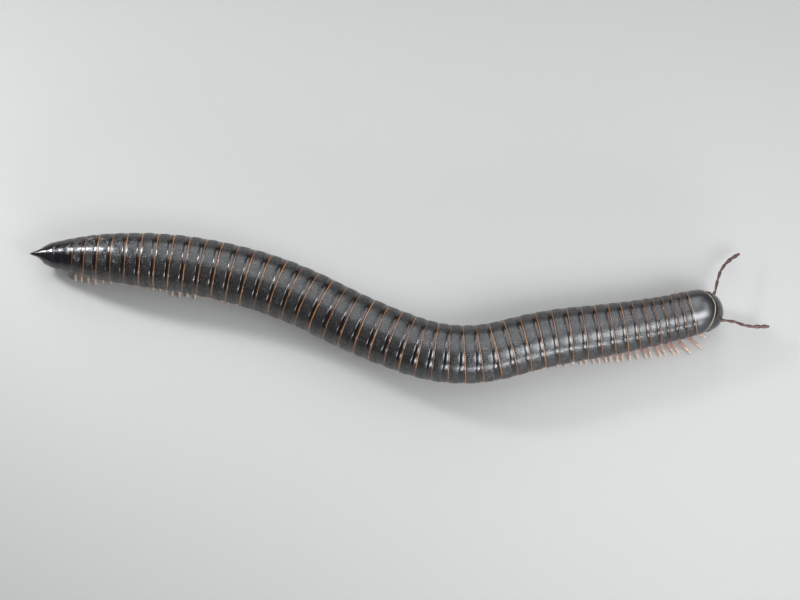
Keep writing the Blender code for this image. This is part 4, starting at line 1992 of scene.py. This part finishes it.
@dataclass
class Tail:
    """The last ring with its point, the two valves under it, and the small scale below them.

    Places and sizes are in mm, in a frame with X from the tip of the tail forward.
    """

    line: BodyLine
    # The ring and its point: distance from the tip, rise over the body axis and radius
    sections: Rows = (
        (1.62, 0.00, 0.690), (1.60, 0.00, 0.736), (1.50, 0.00, 0.762), (1.40, 0.00, 0.758),
        (1.30, 0.00, 0.728), (1.20, 0.005, 0.684), (1.10, 0.015, 0.630), (1.00, 0.035, 0.568),
        (0.92, 0.060, 0.512), (0.84, 0.092, 0.450), (0.76, 0.124, 0.388), (0.68, 0.152, 0.328),
        (0.60, 0.175, 0.274), (0.50, 0.190, 0.214), (0.40, 0.195, 0.168), (0.30, 0.195, 0.128),
        (0.20, 0.190, 0.090), (0.10, 0.184, 0.054), (0.04, 0.180, 0.030), (0.02, 0.180, 0.014),
    )
    sides: int = 80
    horn_point: float = 0.16 * MM
    valve_centre: Triple = (1.20, 0.0, -0.10)
    valve_radii: Triple = (0.57, 0.62, 0.66)
    valve_gap: float = 0.012
    valve_turns: Span = (0.5, 1.75)
    # Lines beside the gap between the valves: distance from it, width, and depth or negative height
    valve_lines: Rows = ((0.03, 0.022, -0.014), (0.10, 0.030, 0.014))
    scale_centre: Triple = (1.28, 0.0, -0.70)
    scale_radii: Triple = (0.24, 0.30, 0.085)
    scale_point: float = 0.25
    hair_rows: Span = (0.09, 0.26)
    # The hairs' turns about the valves' middle, in half turns, how near the surface they root, and their lean
    hair_turns: Span = (1.02, 1.42)
    hair_root: float = 0.99
    hair_lean: Span = (0.05, 0.03)
    hair_length: float = 0.16 * MM

    def lay(self, point: Sequence[float]) -> Vector:
        """Lead a point of the tail's frame to its place on the body line.

        Args:
            point: The point, in metres.

        Returns:
            Its place in the room.
        """
        along, left, up = point
        place, heading = self.line.point(max(along, 0.0))
        height = float(self.line.axis(np.array(self.line.tail_length)))
        return Vector((place.x - math.sin(heading) * left, place.y + math.cos(heading) * left, height + up))

    def settle(self, piece: Piece) -> Piece:
        """Move a tail piece from its frame into the room, and mark its point.

        Args:
            piece: The piece.

        Returns:
            The piece.
        """
        points = Bench.points(piece)
        Bench.set_points(piece, np.array([self.lay(point) for point in points]))
        Bench.mark(piece, "tip", np.clip((self.horn_point - points[:, 0]) / self.horn_point, 0.0, 1.0))
        return piece

    def cone(self) -> Piece:
        """Model the last ring, drawn out into the point.

        Returns:
            The ring.
        """
        rows = [(along * MM, up * MM, radius * MM) for along, up, radius in self.sections]
        cone = Bench.loft("tail_ring", rows, self.sides)
        Bench.set_points(cone, Bench.points(cone)[:, [2, 0, 1]])
        return self.settle(cone)

    def valve(self, side: Side) -> Piece:
        """Model one valve: half of a rounded dome with a raised rim along the middle.

        Args:
            side: The side of the animal.

        Returns:
            The valve.
        """
        centre, radii = Vector(self.valve_centre), Vector(self.valve_radii)
        valve = Bench.ball(f"anal_valve_{side.word}", centre * MM, radii * MM, (72, 52))
        Bench.cut(valve, mm(0.0, self.valve_gap * side.value, 0.0), Vector((0.0, -side.value, 0.0)))
        for beside, width, depth in self.valve_lines:
            line = []
            for turn in np.linspace(self.valve_turns[0] * math.pi, self.valve_turns[1] * math.pi, 22):
                step = Vector((radii.x * math.cos(turn), beside * side.value, radii.z * math.sin(turn)))
                line.append((centre + step) * MM)
            Bench.carve(valve, line, width, depth)
        return self.settle(Bench.smooth(valve, RIMMED_BELOW))

    def scale(self) -> Piece:
        """Model the small scale under the valves, narrow toward the tip.

        Returns:
            The scale.
        """
        centre, radii = self.scale_centre, self.scale_radii
        scale = Bench.ball("belly_scale", mm(*centre), mm(*radii), (40, 20))
        points = Bench.points(scale)
        forward = np.clip((points[:, 0] - (centre[0] - radii[0]) * MM) / (2.0 * radii[0] * MM), 0.0, 1.0)
        points[:, 1] *= self.scale_point + (1.0 - self.scale_point) * np.sqrt(forward)
        Bench.set_points(scale, points)
        return self.settle(scale)

    def hairs(self) -> Iterator[Hair]:
        """Yield the hairs along the valves' rims and under the point.

        Yields:
            The root and the tip of each hair.
        """
        centre, radii = mm(*self.valve_centre), mm(*self.valve_radii)
        for side in Side:
            for turn in np.linspace(self.hair_turns[0] * math.pi, self.hair_turns[1] * math.pi, 5):
                for spread in self.hair_rows:
                    out = Vector((math.cos(turn), 0.0, math.sin(turn)))
                    deep = self.hair_root
                    step = (radii.x * out.x * deep, spread * side.value * MM, radii.z * out.z * deep)
                    root = centre + Vector(step)
                    back, aside = self.hair_lean
                    tip = root + out * self.hair_length + mm(-back, aside * side.value, 0.0)
                    yield self.lay(root), self.lay(tip)

    def build(self) -> None:
        """Build the tail's pieces."""
        seat(self.cone(), TailFinish(), "tail_ring")
        seat(self.scale(), TailFinish())
        for side in Side:
            seat(self.valve(side), TailFinish(), f"anal_valve_{side.word}")
        Setae("tail_setae").build(list(self.hairs()))


@dataclass(frozen=True)
class Softbox:
    """A soft studio lamp that looks at a place on the floor."""

    name: str
    place: Triple
    aim: Triple
    size: Span
    glow: float
    spread: float
    colour: Colour = (0.93, 0.965, 1.0)

    def hang(self) -> None:
        """Hang the lamp."""
        lamp = bpy.data.lights.new(self.name, "AREA")
        lamp.shape = "RECTANGLE"
        lamp.size, lamp.size_y = self.size
        lamp.energy = self.glow * math.pi * self.size[0] * self.size[1]
        lamp.color = self.colour
        lamp.spread = math.radians(self.spread)
        holder = bpy.data.objects.new(self.name, lamp)
        holder.location = self.place
        way = Vector(self.aim) - Vector(self.place)
        holder.rotation_euler = way.to_track_quat("-Z", "Y").to_euler()
        holder.visible_camera = False
        bpy.context.scene.collection.objects.link(holder)


@dataclass
class Studio:
    """The pale floor, the soft light and the camera at the photograph's angle."""

    elevation: float = 75.0
    distance: float = 0.35
    target: Triple = (0.000037, 0.000871, 0.0)
    pixels_per_metre: float = 17000.0
    image_width: float = 800.0
    sensor_width: float = 36.0
    visible_range: Span = (0.01, 10.0)
    body_height: float = 0.0020
    floor_size: float = 1.6
    floor_colour: Colour = (0.375, 0.367, 0.354)
    floor_roughness: float = 0.9
    floor_gloss: float = 0.2
    room_colour: Colour = (0.86, 0.92, 1.0)
    room_glow: float = 0.13
    lamps: tuple[Softbox, ...] = (
        Softbox("behind_tail", (-0.062, 0.036, 0.050), (-0.020, 0.003, 0.002), (0.014, 0.012), 14.0, 60.0),
        Softbox("front_low", (0.050, -0.165, 0.048), (0.012, 0.0, 0.002), (0.096, 0.036), 7.5, 120.0),
        Softbox("over_all", (0.0, 0.212, 0.340), (0.0, 0.0, 0.0), (0.22, 0.58), 3.3, 180.0),
        Softbox("ahead", (0.125, 0.030, 0.160), (0.0, 0.0, 0.0), (0.20, 0.04), 4.8, 180.0),
        Softbox("over_head", (0.051, -0.040, 0.063), (0.018, 0.0, 0.002), (0.050, 0.046), 1.7, 60.0),
    )

    def floor(self) -> None:
        """Lay the floor."""
        Bench.clear()
        bpy.ops.mesh.primitive_plane_add(size=self.floor_size)
        floor = Bench.added("floor")
        material = bpy.data.materials.new("pale_floor")
        material.use_nodes = True
        inputs = material.node_tree.nodes["Principled BSDF"].inputs
        inputs["Base Color"].default_value = shade(self.floor_colour)
        inputs["Roughness"].default_value = self.floor_roughness
        inputs["Specular IOR Level"].default_value = self.floor_gloss
        floor.data.materials.append(material)
        floor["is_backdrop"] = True

    def camera(self) -> None:
        """Set up the camera so that the body has the photograph's size and place in the frame."""
        lens = bpy.data.cameras.new("camera")
        camera = bpy.data.objects.new("camera", lens)
        bpy.context.scene.collection.objects.link(camera)
        rise = math.radians(self.elevation)
        back = Vector((0.0, -math.cos(rise), math.sin(rise)))
        camera.location = Vector(self.target) + back * self.distance
        camera.rotation_euler = (-back).to_track_quat("-Z", "Y").to_euler()
        to_body = self.distance - self.body_height * math.sin(rise)
        lens.sensor_width = self.sensor_width
        lens.lens = self.sensor_width * to_body * self.pixels_per_metre / self.image_width
        lens.clip_start, lens.clip_end = self.visible_range
        bpy.context.scene.camera = camera

    def light(self) -> None:
        """Hang the lamps in a dim, even room."""
        for lamp in self.lamps:
            lamp.hang()
        room = bpy.data.worlds.new("room")
        bpy.context.scene.world = room
        room.use_nodes = True
        sky = room.node_tree.nodes["Background"]
        sky.inputs["Color"].default_value = shade(self.room_colour)
        sky.inputs["Strength"].default_value = self.room_glow
        bpy.context.scene.view_settings.view_transform = "Standard"

    def build(self) -> None:
        """Set up the studio."""
        self.floor()
        self.light()
        self.camera()


def main() -> None:
    """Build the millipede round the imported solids, and the studio round the millipede."""
    logging.basicConfig(level=logging.INFO, format="%(name)s: %(message)s")
    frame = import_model()
    LOG.info("%d packed solids", len(frame["nodes"]))
    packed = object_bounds()
    line = BodyLine()
    neck = line.upright(line.neck)
    RingPlates(line).build()
    Legs(line).build()
    Collum(neck).build()
    Head(neck, mm(1.00, 0.0, -0.35), mm(0.96, 1.13, 1.30)).build()
    Antennae(neck).build()
    Tail(line).build()
    Studio().build()
    bpy.context.view_layer.update()
    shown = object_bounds()
    LOG.info("packed %s, shown %s", *(["%.5f" % v for c in box for v in c] for box in (packed, shown)))


if __name__ == "__main__":
    main()
